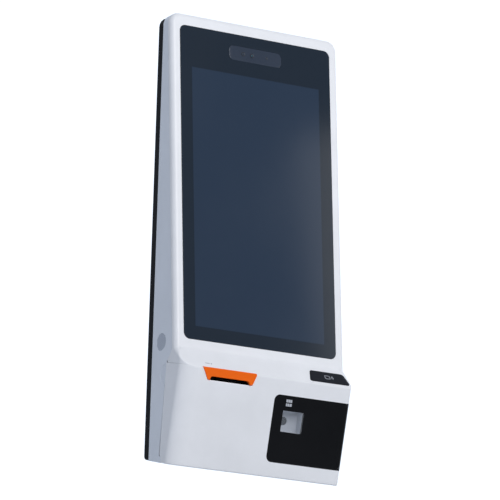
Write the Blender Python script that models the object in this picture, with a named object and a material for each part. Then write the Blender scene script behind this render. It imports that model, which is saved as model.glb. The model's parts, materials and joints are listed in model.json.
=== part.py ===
"""Wall-mounted self-checkout kiosk, built as the separate pieces it is assembled from.

Metres, +Z up. The wall is the plane y = 0, the customer stands at -Y, and x = 0 is the middle of
the kiosk. z = 0 is the middle of the display. Three tilted frames carry the front: SCREEN leans
back, SHELF juts forward under it, and LOWER slopes back again down to the bottom. In each of
them x runs to the customer's right, y runs into the body and z runs up along the face.
"""
import math

import bmesh
import bpy
from mathutils import Matrix, Vector

# Body
WIDTH = 0.390
HALF = WIDTH / 2
SCREEN_DEPTH = 0.076
SCREEN_LEAN = math.radians(5.0)
TOP_RUN = 0.3729
CREASE_RUN = 0.3098
SHELF_RUN = 0.052
SHELF_LEAN = math.radians(37.5)
LOWER_RUN = 0.193
UNDERCUT = math.radians(12.4)
BACK_DEPTH = 0.016
WALL = 0.003
GAP = 0.0003
FRONT_ROUND = 0.010
LIP_ROUND = 0.003
CORNER_RADIUS = 0.022
LIP_CORNER = 0.006
SKIRT = 0.012
ARC_STEPS = 5
PLAN_STEPS = 8

# Display
GLASS_HALF = 0.1750
GLASS_TOP = 0.3475
GLASS_BOTTOM = -0.2910
GLASS_THICK = 0.004
GLASS_CORNER = 0.013
PANEL_HALF = 0.156
PANEL_RISE = 0.269
PANEL_THICK = 0.011
CAMERA_HEIGHT = 0.3090
CAMERA_HALF = 0.0610
CAMERA_ROUND = 0.0146
LENS_X = -0.0081
LENS_RADIUS = 0.0042
SENSOR_X = -0.0285
SENSOR_RADIUS = 0.0050
LAMP_X = 0.0264
LAMP_RADIUS = 0.0022

# Door of the lower bay
DOOR_CORNER_LEFT = 0.038
DOOR_CORNER_DEPTH = 0.020
DOOR_CORNER_RIGHT = 0.010
DOOR_RIM = 0.008
HINGE_Y = 0.0413
HINGE_Z = -0.1883
HINGE_CLEAR = 0.0090
HINGE_NOSE = 0.0086
HINGE_EYE = 0.0044
PIN_RADIUS = 0.0020
EAR_X = 0.155
EAR_THICK = 0.006
WING = 0.0638

# Scanner
PANEL_LEFT = 0.0195
PANEL_TOP = -0.0306
PANEL_BOTTOM = -0.1633
PANEL_WRAP = 0.024
PANEL_CORNER = 0.013
WINDOW_LEFT = 0.0430
WINDOW_RIGHT = 0.0918
WINDOW_TOP = -0.0605
WINDOW_BOTTOM = -0.1020
RECESS_DEPTH = 0.021
SCAN_X = 0.0590
SCAN_Z = -0.0812
SCAN_RADIUS = 0.0085

# Receipt printer
OUTLET_TOP = 0.0026
OUTLET_BOTTOM = -0.0214
OUTLET_TOP_LEFT = -0.1500
OUTLET_TOP_RIGHT = -0.0262
OUTLET_LOW_LEFT = -0.1363
OUTLET_LOW_RIGHT = -0.0346
SLOT_TOP = -0.0142
SLOT_LEFT = -0.1310
SLOT_RIGHT = -0.0405
PRINTER_X = -0.089
PRINTER_HALF = 0.047
PLATE_THICK = 0.002
PLATEN_Y = 0.029
PLATEN_Z = -0.0255
PLATEN_RADIUS = 0.006
GEAR_MODULE = 0.001
PLATEN_TEETH = 18
IDLER_TEETH = 16
PINION_TEETH = 9
IDLER_ANGLE = math.radians(-20.0)
PINION_ANGLE = math.radians(-50.0)
GEAR_X = -0.1395
GEAR_THICK = 0.003
ROLL_Y = 0.0499
ROLL_Z = -0.1114
ROLL_RADIUS = 0.038
ROLL_WIDTH = 0.0795
CORE_OUTER = 0.0105
CORE_INNER = 0.0085
SPINDLE_RADIUS = 0.005

# Contactless reader
PAD_TOP = -0.0148
PAD_BOTTOM = -0.0456
PAD_TOP_LEFT = 0.1070
PAD_TOP_RIGHT = 0.1840
PAD_LOW_LEFT = 0.0975
PAD_LOW_RIGHT = 0.1915
PAD_PROUD = 0.0012
PAD_SUNK = 0.0015

# Speakers and finger dishes in the side walls
SPEAKER_Y = -0.0506
SPEAKER_Z = -0.2932
SPEAKER_RADIUS = 0.0187
DISH_Y = -0.0705
DISH_Z = -0.3590
DISH_RADIUS = 0.0215
DISH_DEPTH = 0.0018
SLACK = 0.0000001

# Lock on the right-hand wing of the door
LOCK_Y = 0.034
LOCK_Z = -0.016
LOCK_RADIUS = 0.009
PLUG_RADIUS = 0.0055

# Wall plate
PLATE_HALF_X = 0.100
PLATE_HALF_Z = 0.070
BOLT_SPACING = 0.100
BOLT_RADIUS = 0.0032
HOOK_RISE = 0.038

WHITE = (0.82, 0.84, 0.87)
SIDE_WHITE = (0.78, 0.80, 0.84)
BLACK = (0.020, 0.022, 0.028)
INK = (0.015, 0.022, 0.035)
ORANGE = (0.87, 0.16, 0.02)
STEEL = (0.55, 0.56, 0.58)
BOARD = (0.02, 0.14, 0.06)


def tilted_frame(point, lean):
    """Frame at a point in the middle plane, turned about x by lean."""
    return Matrix.Translation(point) @ Matrix.Rotation(lean, 4, "X")


SCREEN = tilted_frame(Vector((0, -SCREEN_DEPTH, 0)), -SCREEN_LEAN)
SHELF = tilted_frame(SCREEN @ Vector((0, 0, -CREASE_RUN)), -SHELF_LEAN)
LOWER = tilted_frame(SHELF @ Vector((0, 0, -SHELF_RUN)), UNDERCUT)
WORLD = Matrix()
HINGE_POINT = LOWER @ Vector((0, HINGE_Y, HINGE_Z))


def clear_scene():
    """Remove every object and unused collection that is already there."""
    for thing in list(bpy.data.objects):
        bpy.data.objects.remove(thing, do_unlink=True)
    for group in list(bpy.data.collections):
        bpy.data.collections.remove(group)


def new_collection(name):
    """A collection of its own under the scene."""
    group = bpy.data.collections.new(name)
    bpy.context.scene.collection.children.link(group)
    return group


clear_scene()
PARTS = new_collection("self_checkout_kiosk")
CUTTERS = new_collection("kiosk_cutters")


def material(name, colour, roughness, metallic=0.0, alpha=1.0):
    """Principled material of one colour."""
    made = bpy.data.materials.new(name)
    made.use_nodes = True
    shader = made.node_tree.nodes["Principled BSDF"]
    shader.inputs["Base Color"].default_value = (*colour, 1.0)
    shader.inputs["Roughness"].default_value = roughness
    shader.inputs["Metallic"].default_value = metallic
    shader.inputs["Alpha"].default_value = alpha
    made.diffuse_color = (*colour, alpha)
    return made


def put(name, mesh, group):
    """Link a mesh as an object into a collection."""
    thing = bpy.data.objects.new(name, mesh)
    group.objects.link(thing)
    if group is CUTTERS:
        thing.hide_render = True
        thing.display_type = "WIRE"
    return thing


def finish(thing, colour, roughness=0.5, metallic=0.0, alpha=1.0, origin=None):
    """Shade a part, give it its own material, and put its origin where it turns."""
    thing.data.materials.clear()
    thing.data.materials.append(material(thing.name, colour, roughness, metallic, alpha))
    thing.data.shade_smooth()
    thing.data.set_sharp_from_angle(angle=math.radians(30))
    if origin is not None:
        thing.data.transform(Matrix.Translation(-Vector(origin)))
        thing.location = origin
    return thing


def rounded(corners, steps=ARC_STEPS):
    """Outline of a polygon whose corners (a, b, radius) become arcs."""
    outline = []
    for index, (a, b, radius) in enumerate(corners):
        here = Vector((a, b))
        if radius == 0:
            outline.append(here)
            continue
        before = (Vector(corners[index - 1][:2]) - here).normalized()
        after = (Vector(corners[(index + 1) % len(corners)][:2]) - here).normalized()
        half_angle = before.angle(after) / 2
        centre = here + (before + after).normalized() * radius / math.sin(half_angle)
        start = here + before * radius / math.tan(half_angle) - centre
        end = here + after * radius / math.tan(half_angle) - centre
        sweep = start.angle(end)
        for step in range(steps + 1):
            share = step / steps
            blend = start * math.sin((1 - share) * sweep) + end * math.sin(share * sweep)
            outline.append(centre + blend / math.sin(sweep))
    return outline


def rectangle(left, right, low, high, radius=0.0, steps=ARC_STEPS):
    """Rectangle with equal corner radii."""
    corners = [(left, low, radius), (right, low, radius), (right, high, radius), (left, high, radius)]
    return rounded(corners, steps)


def quarter(centre, reach_a, reach_b, start):
    """Quarter of an ellipse about a centre, from the start angle in degrees on by 90."""
    angles = [math.radians(start + 90 * step / PLAN_STEPS) for step in range(PLAN_STEPS + 1)]
    return [Vector((centre[0] + reach_a * math.cos(t), centre[1] + reach_b * math.sin(t))) for t in angles]


def plan_outline(inset, deep):
    """Plan of the lower front, from its left rear edge round both front corners to its right rear edge."""
    side = HALF - inset
    reach_a = DOOR_CORNER_LEFT - inset
    reach_b = DOOR_CORNER_DEPTH - inset
    small = DOOR_CORNER_RIGHT - inset
    left = quarter((-HALF + DOOR_CORNER_LEFT, DOOR_CORNER_DEPTH), reach_a, reach_b, 180)
    right = quarter((HALF - DOOR_CORNER_RIGHT, DOOR_CORNER_RIGHT), small, small, 270)
    return [Vector((-side, deep))] + left + right + [Vector((side, deep))]


def circle(a, b, radius, sides=24):
    """Regular outline of a round hole or boss."""
    angles = [2 * math.pi * index / sides for index in range(sides)]
    return [Vector((a + radius * math.cos(t), b + radius * math.sin(t))) for t in angles]


def prism(name, outline, low, high, axis, frame=WORLD, group=PARTS):
    """Flat outline extruded along a frame's axis from low to high."""
    curve = bpy.data.curves.new(name, "CURVE")
    curve.dimensions = "2D"
    curve.fill_mode = "BOTH"
    curve.extrude = (high - low) / 2
    spline = curve.splines.new("POLY")
    spline.points.add(len(outline) - 1)
    for point, place in zip(spline.points, outline):
        point.co = (place[0], place[1], 0.0, 1.0)
    spline.use_cyclic_u = True
    guide = bpy.data.objects.new(name + "_outline", curve)
    CUTTERS.objects.link(guide)
    graph = bpy.context.evaluated_depsgraph_get()
    mesh = bpy.data.meshes.new_from_object(guide.evaluated_get(graph))
    bpy.data.objects.remove(guide, do_unlink=True)
    turns = {
        "X": Matrix(((0, 0, 1, 0), (1, 0, 0, 0), (0, 1, 0, 0), (0, 0, 0, 1))),
        "Y": Matrix.Rotation(math.pi / 2, 4, "X"),
        "Z": Matrix(),
    }
    unit = {"X": Vector((1, 0, 0)), "Y": Vector((0, 1, 0)), "Z": Vector((0, 0, 1))}[axis]
    mesh.transform(Matrix.Translation(unit * (low + high) / 2) @ turns[axis])
    mesh.transform(frame)
    close_mesh(mesh)
    return put(name, mesh, group)


def close_mesh(mesh):
    """Merge the seams of a mesh and turn its faces outwards."""
    work = bmesh.new()
    work.from_mesh(mesh)
    bmesh.ops.remove_doubles(work, verts=work.verts, dist=1e-6)
    bmesh.ops.recalc_face_normals(work, faces=work.faces)
    work.to_mesh(mesh)
    work.free()


def box(name, xs, ys, zs, frame=WORLD, group=PARTS, bevel=0.0):
    """Block between pairs of coordinates in a frame, with bevelled edges if asked."""
    bpy.ops.mesh.primitive_cube_add(size=1.0)
    thing = bpy.context.active_object
    for owner in list(thing.users_collection):
        owner.objects.unlink(thing)
    mesh = thing.data
    bpy.data.objects.remove(thing, do_unlink=True)
    centre = Vector((sum(xs) / 2, sum(ys) / 2, sum(zs) / 2))
    size = Vector((xs[1] - xs[0], ys[1] - ys[0], zs[1] - zs[0]))
    mesh.transform(Matrix.Translation(centre) @ Matrix.Diagonal((*size, 1.0)))
    if bevel:
        work = bmesh.new()
        work.from_mesh(mesh)
        bmesh.ops.bevel(work, geom=work.edges, offset=bevel, segments=2, profile=0.5, affect="EDGES")
        work.to_mesh(mesh)
        work.free()
    mesh.transform(frame)
    return put(name, mesh, group)


def rod(name, radius, low, high, axis, centre, frame=WORLD, group=PARTS, sides=24):
    """Cylinder along a frame's axis; centre gives the other two coordinates in order."""
    bpy.ops.mesh.primitive_cylinder_add(vertices=sides, radius=radius, depth=high - low)
    thing = bpy.context.active_object
    for owner in list(thing.users_collection):
        owner.objects.unlink(thing)
    mesh = thing.data
    bpy.data.objects.remove(thing, do_unlink=True)
    middle = (low + high) / 2
    places = {
        "X": (Vector((middle, centre[0], centre[1])), Matrix.Rotation(math.pi / 2, 4, "Y")),
        "Y": (Vector((centre[0], middle, centre[1])), Matrix.Rotation(math.pi / 2, 4, "X")),
        "Z": (Vector((centre[0], centre[1], middle)), Matrix()),
    }
    place, turn = places[axis]
    mesh.transform(Matrix.Translation(place) @ turn)
    mesh.transform(frame)
    return put(name, mesh, group)


def shape(thing, operation, *tools):
    """Apply Boolean operations to a part, one tool after the other, and keep the result."""
    for tool in tools:
        if tool.name not in CUTTERS.objects:
            for owner in list(tool.users_collection):
                owner.objects.unlink(tool)
            CUTTERS.objects.link(tool)
            tool.hide_render = True
            tool.display_type = "WIRE"
        modifier = thing.modifiers.new(operation.lower(), "BOOLEAN")
        modifier.operation = operation
        modifier.solver = "EXACT"
        modifier.object = tool
    graph = bpy.context.evaluated_depsgraph_get()
    made = bpy.data.meshes.new_from_object(thing.evaluated_get(graph))
    old = thing.data
    thing.modifiers.clear()
    thing.data = made
    bpy.data.meshes.remove(old)
    close_mesh(made)
    return thing


def cut(thing, *tools):
    """Cut tools out of a part."""
    return shape(thing, "DIFFERENCE", *tools)


def join(thing, *tools):
    """Unite tools with a part."""
    return shape(thing, "UNION", *tools)


def keep(thing, *tools):
    """Keep what a part shares with tools."""
    return shape(thing, "INTERSECT", *tools)


def yz(frame, y, z):
    """World y and z of a point in a frame's middle plane."""
    place = frame @ Vector((0, y, z))
    return (place.y, place.z)


def arc_about(centre, radius, start, end, steps):
    """Points of an arc in the y, z plane, angles in degrees from +y towards +z."""
    points = []
    for step in range(steps + 1):
        angle = math.radians(start + (end - start) * step / steps)
        points.append((centre[0] + radius * math.cos(angle), centre[1] + radius * math.sin(angle)))
    return points


def seam(offset, rise=0.0):
    """Side-view line between the front pieces and the housing, from the top down, moved back by offset."""
    line = [yz(SCREEN, SKIRT, 0.45), yz(SCREEN, SKIRT, -0.3130), (-0.0815, -0.3270), yz(LOWER, WING, rise)]
    return [(y + offset, z) for y, z in line]


def front_point(across, run, depth):
    """Point on or behind the front: up the screen from its middle, and down the shelf past the crease."""
    if abs(run + CREASE_RUN) < 1e-7:
        bend = (SHELF_LEAN - SCREEN_LEAN) / 2
        crease = SCREEN @ Vector((0, 0, -CREASE_RUN))
        mitre = tilted_frame(crease, -(SCREEN_LEAN + SHELF_LEAN) / 2)
        return mitre @ Vector((across, depth / math.cos(bend), 0))
    if run > -CREASE_RUN:
        return SCREEN @ Vector((across, depth, run))
    return SHELF @ Vector((across, depth, run + CREASE_RUN))


def front_ring(inset, lip_inset, depth):
    """Outline of the front face, drawn in from its edges and set back by depth."""
    side = HALF - inset
    top = TOP_RUN - inset
    bottom = -CREASE_RUN - SHELF_RUN + lip_inset
    large = max(CORNER_RADIUS - inset, 0.002)
    small = max(LIP_CORNER - inset, 0.001)
    corners = [
        (-side, bottom, small),
        (side, bottom, small),
        (side, -CREASE_RUN, 0),
        (side, top, large),
        (-side, top, large),
        (-side, -CREASE_RUN, 0),
    ]
    return [front_point(a, b, depth) for a, b in rounded(corners)]


def crease_pair(ring_size):
    """Places, in a ring, of the two points on the crease."""
    right = 2 * (ARC_STEPS + 1)
    return right, ring_size - 1


def front_slab(name, edge, setback, depth, group=PARTS):
    """Loft of front outlines: a bent slab whose front edge is rounded, set back and drawn in evenly."""
    rings = []
    for step in range(5):
        angle = math.pi / 2 * step / 4
        inset = setback + edge * (1 - math.sin(angle))
        lip = setback + LIP_ROUND * (1 - math.sin(angle))
        rings.append(front_ring(inset, lip, setback + edge * (1 - math.cos(angle))))
    rings.append(front_ring(setback, setback, depth))
    work = bmesh.new()
    loops = [[work.verts.new(point) for point in ring] for ring in rings]
    size = len(loops[0])
    for front, back in zip(loops, loops[1:]):
        for index in range(size):
            after = (index + 1) % size
            work.faces.new((front[index], front[after], back[after], back[index]))
    right, left = crease_pair(size)
    for loop in (loops[0], loops[-1]):
        work.faces.new(loop[right:left + 1])
        work.faces.new([loop[left]] + loop[:right + 1])
    mesh = bpy.data.meshes.new(name)
    work.to_mesh(mesh)
    work.free()
    close_mesh(mesh)
    return put(name, mesh, group)


def bezel_frame():
    """White frame round the display, with the shelf under it, as one moulding."""
    thing = front_slab("bezel_frame", FRONT_ROUND, 0.0, 0.050)
    keep(thing, prism("bezel_plan", plan_outline(0.0, 0.40), -0.05, 1.0, "Z", LOWER, CUTTERS))
    hollow = front_slab("bezel_hollow", FRONT_ROUND - WALL, WALL, 0.060, CUTTERS)
    keep(hollow, prism("hollow_plan", plan_outline(WALL, 0.42), -0.06, 1.1, "Z", LOWER, CUTTERS))
    cut(thing, hollow)
    region = [(-0.20, 0.45)] + seam(-GAP / 2, GAP / 2) + [yz(LOWER, -0.06, GAP / 2)]
    keep(thing, prism("bezel_region", region, -0.25, 0.25, "X", group=CUTTERS))
    opening = rectangle(-GLASS_HALF - GAP, GLASS_HALF + GAP, GLASS_BOTTOM - GAP, GLASS_TOP + GAP, GLASS_CORNER)
    cut(thing, prism("glass_opening", opening, -0.01, 0.02, "Y", SCREEN, CUTTERS))
    pocket = rounded(pad_corners(GAP), 3)
    cut(thing, prism("pad_pocket", pocket, -0.01, PAD_SUNK + GAP, "Y", SHELF, CUTTERS))
    cut(thing, prism("outlet_notch", outlet_outline(GAP), -0.01, 0.02, "Y", LOWER, CUTTERS))
    return finish(thing, WHITE, 0.35)


def pad_corners(grow):
    """Corners of the reader pad's trapezium, grown outwards by grow."""
    return [
        (PAD_LOW_LEFT - grow, PAD_BOTTOM - grow, 0.003),
        (PAD_LOW_RIGHT + grow, PAD_BOTTOM - grow, 0.004),
        (PAD_TOP_RIGHT + grow, PAD_TOP + grow, 0.007),
        (PAD_TOP_LEFT - grow, PAD_TOP + grow, 0.005),
    ]


def outlet_outline(grow):
    """Trapezium of the paper outlet, grown outwards by grow."""
    corners = [
        (OUTLET_LOW_LEFT - grow, OUTLET_BOTTOM - grow, 0.004),
        (OUTLET_LOW_RIGHT + grow, OUTLET_BOTTOM - grow, 0.004),
        (OUTLET_TOP_RIGHT + grow, OUTLET_TOP + grow, 0.002),
        (OUTLET_TOP_LEFT - grow, OUTLET_TOP + grow, 0.0005),
    ]
    return rounded(corners, 3)


def housing_shell():
    """Painted side, top and bottom walls between the front pieces and the back cover."""
    inner = HALF - WALL
    top = TOP_RUN
    low = -0.60
    outline = rounded([
        (-HALF, low, 0), (-inner, low, 0),
        (-inner, top - WALL, CORNER_RADIUS - WALL), (inner, top - WALL, CORNER_RADIUS - WALL),
        (inner, low, 0), (HALF, low, 0),
        (HALF, top, CORNER_RADIUS), (-HALF, top, CORNER_RADIUS),
    ])
    thing = prism("housing_shell", outline, -0.03, 0.14, "Y", SCREEN)
    floor = box("housing_floor", (-HALF, HALF), (0.046, 0.10), (-LOWER_RUN, -LOWER_RUN + WALL), LOWER, CUTTERS)
    bar = circle(HINGE_Y, HINGE_Z, HINGE_NOSE, 32)
    nose = prism("housing_nose", bar, -HALF + WALL / 2, HALF - WALL / 2, "X", LOWER, CUTTERS)
    join(thing, floor, nose)
    below = yz(LOWER, 0.20, -LOWER_RUN)
    under = math.degrees(math.asin((LOWER_RUN + HINGE_Z) / HINGE_NOSE)) + 180 + math.degrees(UNDERCUT)
    hinge = (HINGE_POINT.y, HINGE_POINT.z)
    nose_arc = arc_about(hinge, HINGE_NOSE, 96, under, 12)
    rear = -BACK_DEPTH - GAP
    bottom_rear = below[1] + (rear - below[0]) * math.tan(UNDERCUT)
    region = seam(GAP / 2) + nose_arc + [(rear, bottom_rear), (rear, 0.45)]
    keep(thing, prism("housing_region", region, -0.25, 0.25, "X", group=CUTTERS))
    for side in (-1, 1):
        ear = side * EAR_X
        reach = EAR_THICK / 2 + 0.001
        ys = (HINGE_Y - 0.02, HINGE_Y + HINGE_EYE + 0.002)
        notch = box("ear_notch", (ear - reach, ear + reach), ys, (-0.21, HINGE_Z + 0.02), LOWER, CUTTERS)
        bore_xs = sorted((side * (EAR_X - 0.015), side * (EAR_X + 0.015)))
        bore = rod("pin_bore", PIN_RADIUS + GAP, *bore_xs, "X", (HINGE_Y, HINGE_Z), LOWER, CUTTERS, 16)
        hole_xs = sorted((side * 0.18, side * 0.21))
        hole = rod("speaker_hole", SPEAKER_RADIUS, *hole_xs, "X", (SPEAKER_Y, SPEAKER_Z), WORLD, CUTTERS, 32)
        cut(thing, notch, bore, hole, finger_dish(side))
    opening = box("connector_opening", (0.0285, 0.1515), (0.0535, 0.0765), (-0.21, -0.18), LOWER, CUTTERS)
    cut(thing, opening)
    return finish(thing, SIDE_WHITE, 0.4)


def finger_dish(side):
    """Shallow round dish beside the door's edge, where a finger gets behind it."""
    work = bmesh.new()
    bmesh.ops.create_cone(work, cap_ends=True, segments=32, radius1=DISH_RADIUS * 0.72,
                          radius2=DISH_RADIUS, depth=DISH_DEPTH * 0.6)
    mesh = bpy.data.meshes.new("finger_dish")
    work.to_mesh(mesh)
    work.free()
    centre = HALF - DISH_DEPTH * 0.3 + SLACK
    turn = Matrix.Rotation(side * math.pi / 2, 4, "Y")
    mesh.transform(Matrix.Translation((side * centre, DISH_Y, DISH_Z)) @ turn)
    return put("finger_dish", mesh, CUTTERS)


def back_cover():
    """Black tray that closes the back and lies against the wall."""
    top = 0.3675
    low = -0.5178
    corners = [(-HALF, low, 0.006), (HALF, low, 0.006), (HALF, top, CORNER_RADIUS), (-HALF, top, CORNER_RADIUS)]
    thing = prism("back_cover", rounded(corners), -BACK_DEPTH, 0.0, "Y")
    inner = 0.0025
    hollow = rounded([
        (-HALF + inner, low + inner, 0), (HALF - inner, low + inner, 0),
        (HALF - inner, top - inner, CORNER_RADIUS - inner), (-HALF + inner, top - inner, CORNER_RADIUS - inner),
    ])
    cut(thing, prism("back_hollow", hollow, -0.05, -inner, "Y", group=CUTTERS))
    edge_x = PLATE_HALF_X + GAP
    edge_z = PLATE_HALF_Z + GAP
    cut(thing, box("plate_window", (-edge_x, edge_x), (-0.02, 0.01), (-edge_z, edge_z), group=CUTTERS))
    for row in range(6):
        height = 0.190 + 0.016 * row
        slot = rectangle(-0.070, 0.070, height, height + 0.006, 0.0029, 3)
        cut(thing, prism("vent_slot", slot, -0.01, 0.01, "Y", group=CUTTERS))
    return finish(thing, BLACK, 0.5)


def hanger_rail():
    """Steel rail across the housing that rests on the wall bracket's two hooks."""
    rise = (HOOK_RISE + 0.0003, HOOK_RISE + 0.0220)
    thing = box("hanger_rail", (-0.1900, 0.1900), (-0.0186, -0.0166), rise)
    for side in (-1, 1):
        xs = sorted((side * 0.1893, side * (HALF - WALL - GAP)))
        join(thing, box("rail_end", xs, (-0.0400, -0.0167), (rise[0] - 0.0001, rise[1] + 0.0001), group=CUTTERS))
    return finish(thing, STEEL, 0.4, 0.9)


def wall_bracket():
    """Steel plate screwed to the wall, with two hooks that the kiosk's rail hangs on."""
    outline = rectangle(-PLATE_HALF_X, PLATE_HALF_X, -PLATE_HALF_Z, PLATE_HALF_Z, 0.004, 2)
    thing = prism("wall_bracket", outline, -0.003, 0.0, "Y")
    for x in (-BOLT_SPACING / 2, BOLT_SPACING / 2):
        for z in (-BOLT_SPACING / 2, BOLT_SPACING / 2):
            cut(thing, rod("bolt_hole", BOLT_RADIUS, -0.01, 0.01, "Y", (x, z), group=CUTTERS, sides=16))
    for side in (-1, 1):
        xs = (side * 0.080 - 0.010, side * 0.080 + 0.010)
        foot = box("hook_foot", xs, (-0.0220, -0.0025), (HOOK_RISE - 0.003, HOOK_RISE), group=CUTTERS)
        tip_xs = (xs[0] + 0.0001, xs[1] - 0.0001)
        tip = box("hook_tip", tip_xs, (-0.0219, -0.0190), (HOOK_RISE - 0.0005, HOOK_RISE + 0.014), group=CUTTERS)
        join(thing, foot, tip)
    return finish(thing, STEEL, 0.4, 0.9)


def cover_glass():
    """Glass over the display, with an opening for the camera window."""
    outline = rectangle(-GLASS_HALF, GLASS_HALF, GLASS_BOTTOM, GLASS_TOP, GLASS_CORNER)
    thing = prism("cover_glass", outline, GAP, GAP + GLASS_THICK, "Y", SCREEN)
    cut(thing, prism("camera_opening", camera_outline(GAP), -0.01, 0.02, "Y", SCREEN, CUTTERS))
    return finish(thing, INK, 0.08)


def camera_outline(grow):
    """Round-ended outline of the camera window, grown outwards by grow."""
    rise = CAMERA_ROUND + grow
    sides = (CAMERA_HEIGHT - rise, CAMERA_HEIGHT + rise)
    return rectangle(-CAMERA_HALF - grow, CAMERA_HALF + grow, *sides, rise * 0.999, 8)


def camera_parts():
    """Window in the top of the glass, the lenses in it, and the board behind."""
    window = prism("camera_window", camera_outline(0.0), GAP, GAP + GLASS_THICK, "Y", SCREEN)
    for name, x, radius in (("camera_lens", LENS_X, LENS_RADIUS), ("light_sensor", SENSOR_X, SENSOR_RADIUS),
                            ("status_lamp", LAMP_X, LAMP_RADIUS)):
        hole = rod(name + "_hole", radius + GAP, -0.01, 0.02, "Y", (x, CAMERA_HEIGHT), SCREEN, CUTTERS)
        cut(window, hole)
        lens = rod(name, radius, 0.0006, 0.0077, "Y", (x, CAMERA_HEIGHT), SCREEN)
        finish(lens, (0.03, 0.04, 0.06), 0.1)
    finish(window, (0.02, 0.03, 0.045), 0.1)
    zs = (CAMERA_HEIGHT - 0.0135, CAMERA_HEIGHT + 0.0135)
    board = box("camera_board", (-0.055, 0.055), (0.008, 0.0096), zs, SCREEN)
    chip = box("camera_chip", (-0.020, 0.005), (0.0095, 0.0125), (CAMERA_HEIGHT - 0.008, CAMERA_HEIGHT + 0.008),
               SCREEN, CUTTERS)
    plug = box("camera_plug", (0.030, 0.046), (0.0095, 0.0125), (CAMERA_HEIGHT - 0.004, CAMERA_HEIGHT + 0.004),
               SCREEN, CUTTERS)
    join(board, chip, plug)
    finish(board, BOARD, 0.5)


def display_parts():
    """Liquid-crystal panel behind the glass and the steel frame that carries it."""
    front = GAP + GLASS_THICK + GAP
    panel = box("display_panel", (-PANEL_HALF, PANEL_HALF), (front, front + PANEL_THICK),
                (-PANEL_RISE, PANEL_RISE), SCREEN, bevel=0.001)
    finish(panel, (0.03, 0.04, 0.06), 0.3)
    start = front + PANEL_THICK + GAP
    plate = (start, start + 0.0015)
    carrier = box("display_frame", (-0.178, 0.178), plate, (-0.286, 0.344), SCREEN)
    cut(carrier, prism("frame_window", rectangle(-0.060, 0.150, 0.10, 0.28, 0.01, 2), 0.0, 0.04, "Y", SCREEN,
                       CUTTERS))
    cut(carrier, prism("frame_window", rectangle(-0.150, -0.080, 0.10, 0.28, 0.01, 2), 0.0, 0.04, "Y", SCREEN,
                       CUTTERS))
    for height in (-0.20, 0.02, 0.24):
        skin = (plate[0] + 0.0001, plate[1] - 0.0001)
        tab = box("frame_tab", (-0.1915, 0.1915), skin, (height - 0.015, height + 0.015), SCREEN, CUTTERS)
        join(carrier, tab)
    for x in (-0.085, 0.065):
        for z in (-0.055, 0.075):
            join(carrier, rod("standoff", 0.003, start + 0.001, 0.026, "Y", (x, z), SCREEN, CUTTERS, 12))
    finish(carrier, STEEL, 0.45, 0.9)


def main_board():
    """Computer board on the carrier's standoffs, with its connectors, and its heat sink."""
    front = 0.026 + GAP
    board = box("main_board", (-0.092, 0.072), (front, front + 0.0016), (-0.062, 0.082), SCREEN)
    for x, z, size in ((-0.075, -0.045, 0.012), (-0.045, -0.048, 0.010), (-0.015, -0.048, 0.010), (0.050, 0.050, 0.012)):
        ys = (front + 0.001, front + 0.010)
        join(board, box("socket", (x - size, x + size), ys, (z - 0.006, z + 0.006), SCREEN, CUTTERS))
    finish(board, BOARD, 0.5)
    base = front + 0.0016 + GAP
    sink = box("heat_sink", (-0.035, 0.035), (base, base + 0.003), (-0.015, 0.045), SCREEN)
    for index in range(8):
        x = -0.0335 + index * 0.0094
        join(sink, box("fin", (x, x + 0.0015), (base + 0.002, base + 0.014), (-0.015, 0.045), SCREEN, CUTTERS))
    finish(sink, (0.6, 0.61, 0.63), 0.4, 0.9)


def power_supply():
    """Boxed power supply under the computer board."""
    start = 0.0182
    thing = box("power_supply", (-0.160, -0.010), (start, start + 0.032), (-0.235, -0.145), SCREEN, bevel=0.0015)
    for index in range(6):
        x = -0.140 + index * 0.022
        slot = rectangle(x, x + 0.012, -0.205, -0.175, 0.003, 2)
        cut(thing, prism("supply_vent", slot, 0.045, 0.06, "Y", SCREEN, CUTTERS))
    return finish(thing, STEEL, 0.4, 0.9)


def speakers():
    """A speaker behind each side wall, with the pierced grille that fills the hole in the wall."""
    for side, word in ((-1, "left"), (1, "right")):
        ends = sorted((side * (HALF - 0.0003), side * (HALF - WALL + 0.0003)))
        grille = rod("speaker_grille_" + word, SPEAKER_RADIUS - GAP, *ends, "X", (SPEAKER_Y, SPEAKER_Z), sides=32)
        for ring, count in ((0.0, 1), (0.0055, 6), (0.0110, 12)):
            for index in range(count):
                angle = 2 * math.pi * index / count
                centre = (SPEAKER_Y + ring * math.cos(angle), SPEAKER_Z + ring * math.sin(angle))
                reach = sorted((side * 0.18, side * 0.21))
                cut(grille, rod("grille_hole", 0.0012, *reach, "X", centre, group=CUTTERS, sides=6))
        finish(grille, (0.62, 0.65, 0.72), 0.5)
        ends = sorted((side * (HALF - WALL - GAP), side * (HALF - 0.009)))
        driver = rod("speaker_" + word, 0.0180, *ends, "X", (SPEAKER_Y, SPEAKER_Z), sides=24)
        ends = sorted((side * (HALF - 0.008), side * (HALF - 0.024)))
        join(driver, rod("magnet", 0.0120, *ends, "X", (SPEAKER_Y, SPEAKER_Z), group=CUTTERS, sides=20))
        finish(driver, BLACK, 0.6)


def reader_parts():
    """Contactless reader: the dark pad let into the shelf and the antenna board under it."""
    pad = prism("nfc_pad", rounded(pad_corners(0.0), 3), -PAD_PROUD, PAD_SUNK, "Y", SHELF)
    finish(pad, BLACK, 0.2)
    front = WALL + GAP
    board = box("nfc_antenna", (0.108, 0.184), (front, front + 0.0016), (-0.042, -0.012), SHELF)
    finish(board, BOARD, 0.5)


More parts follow.
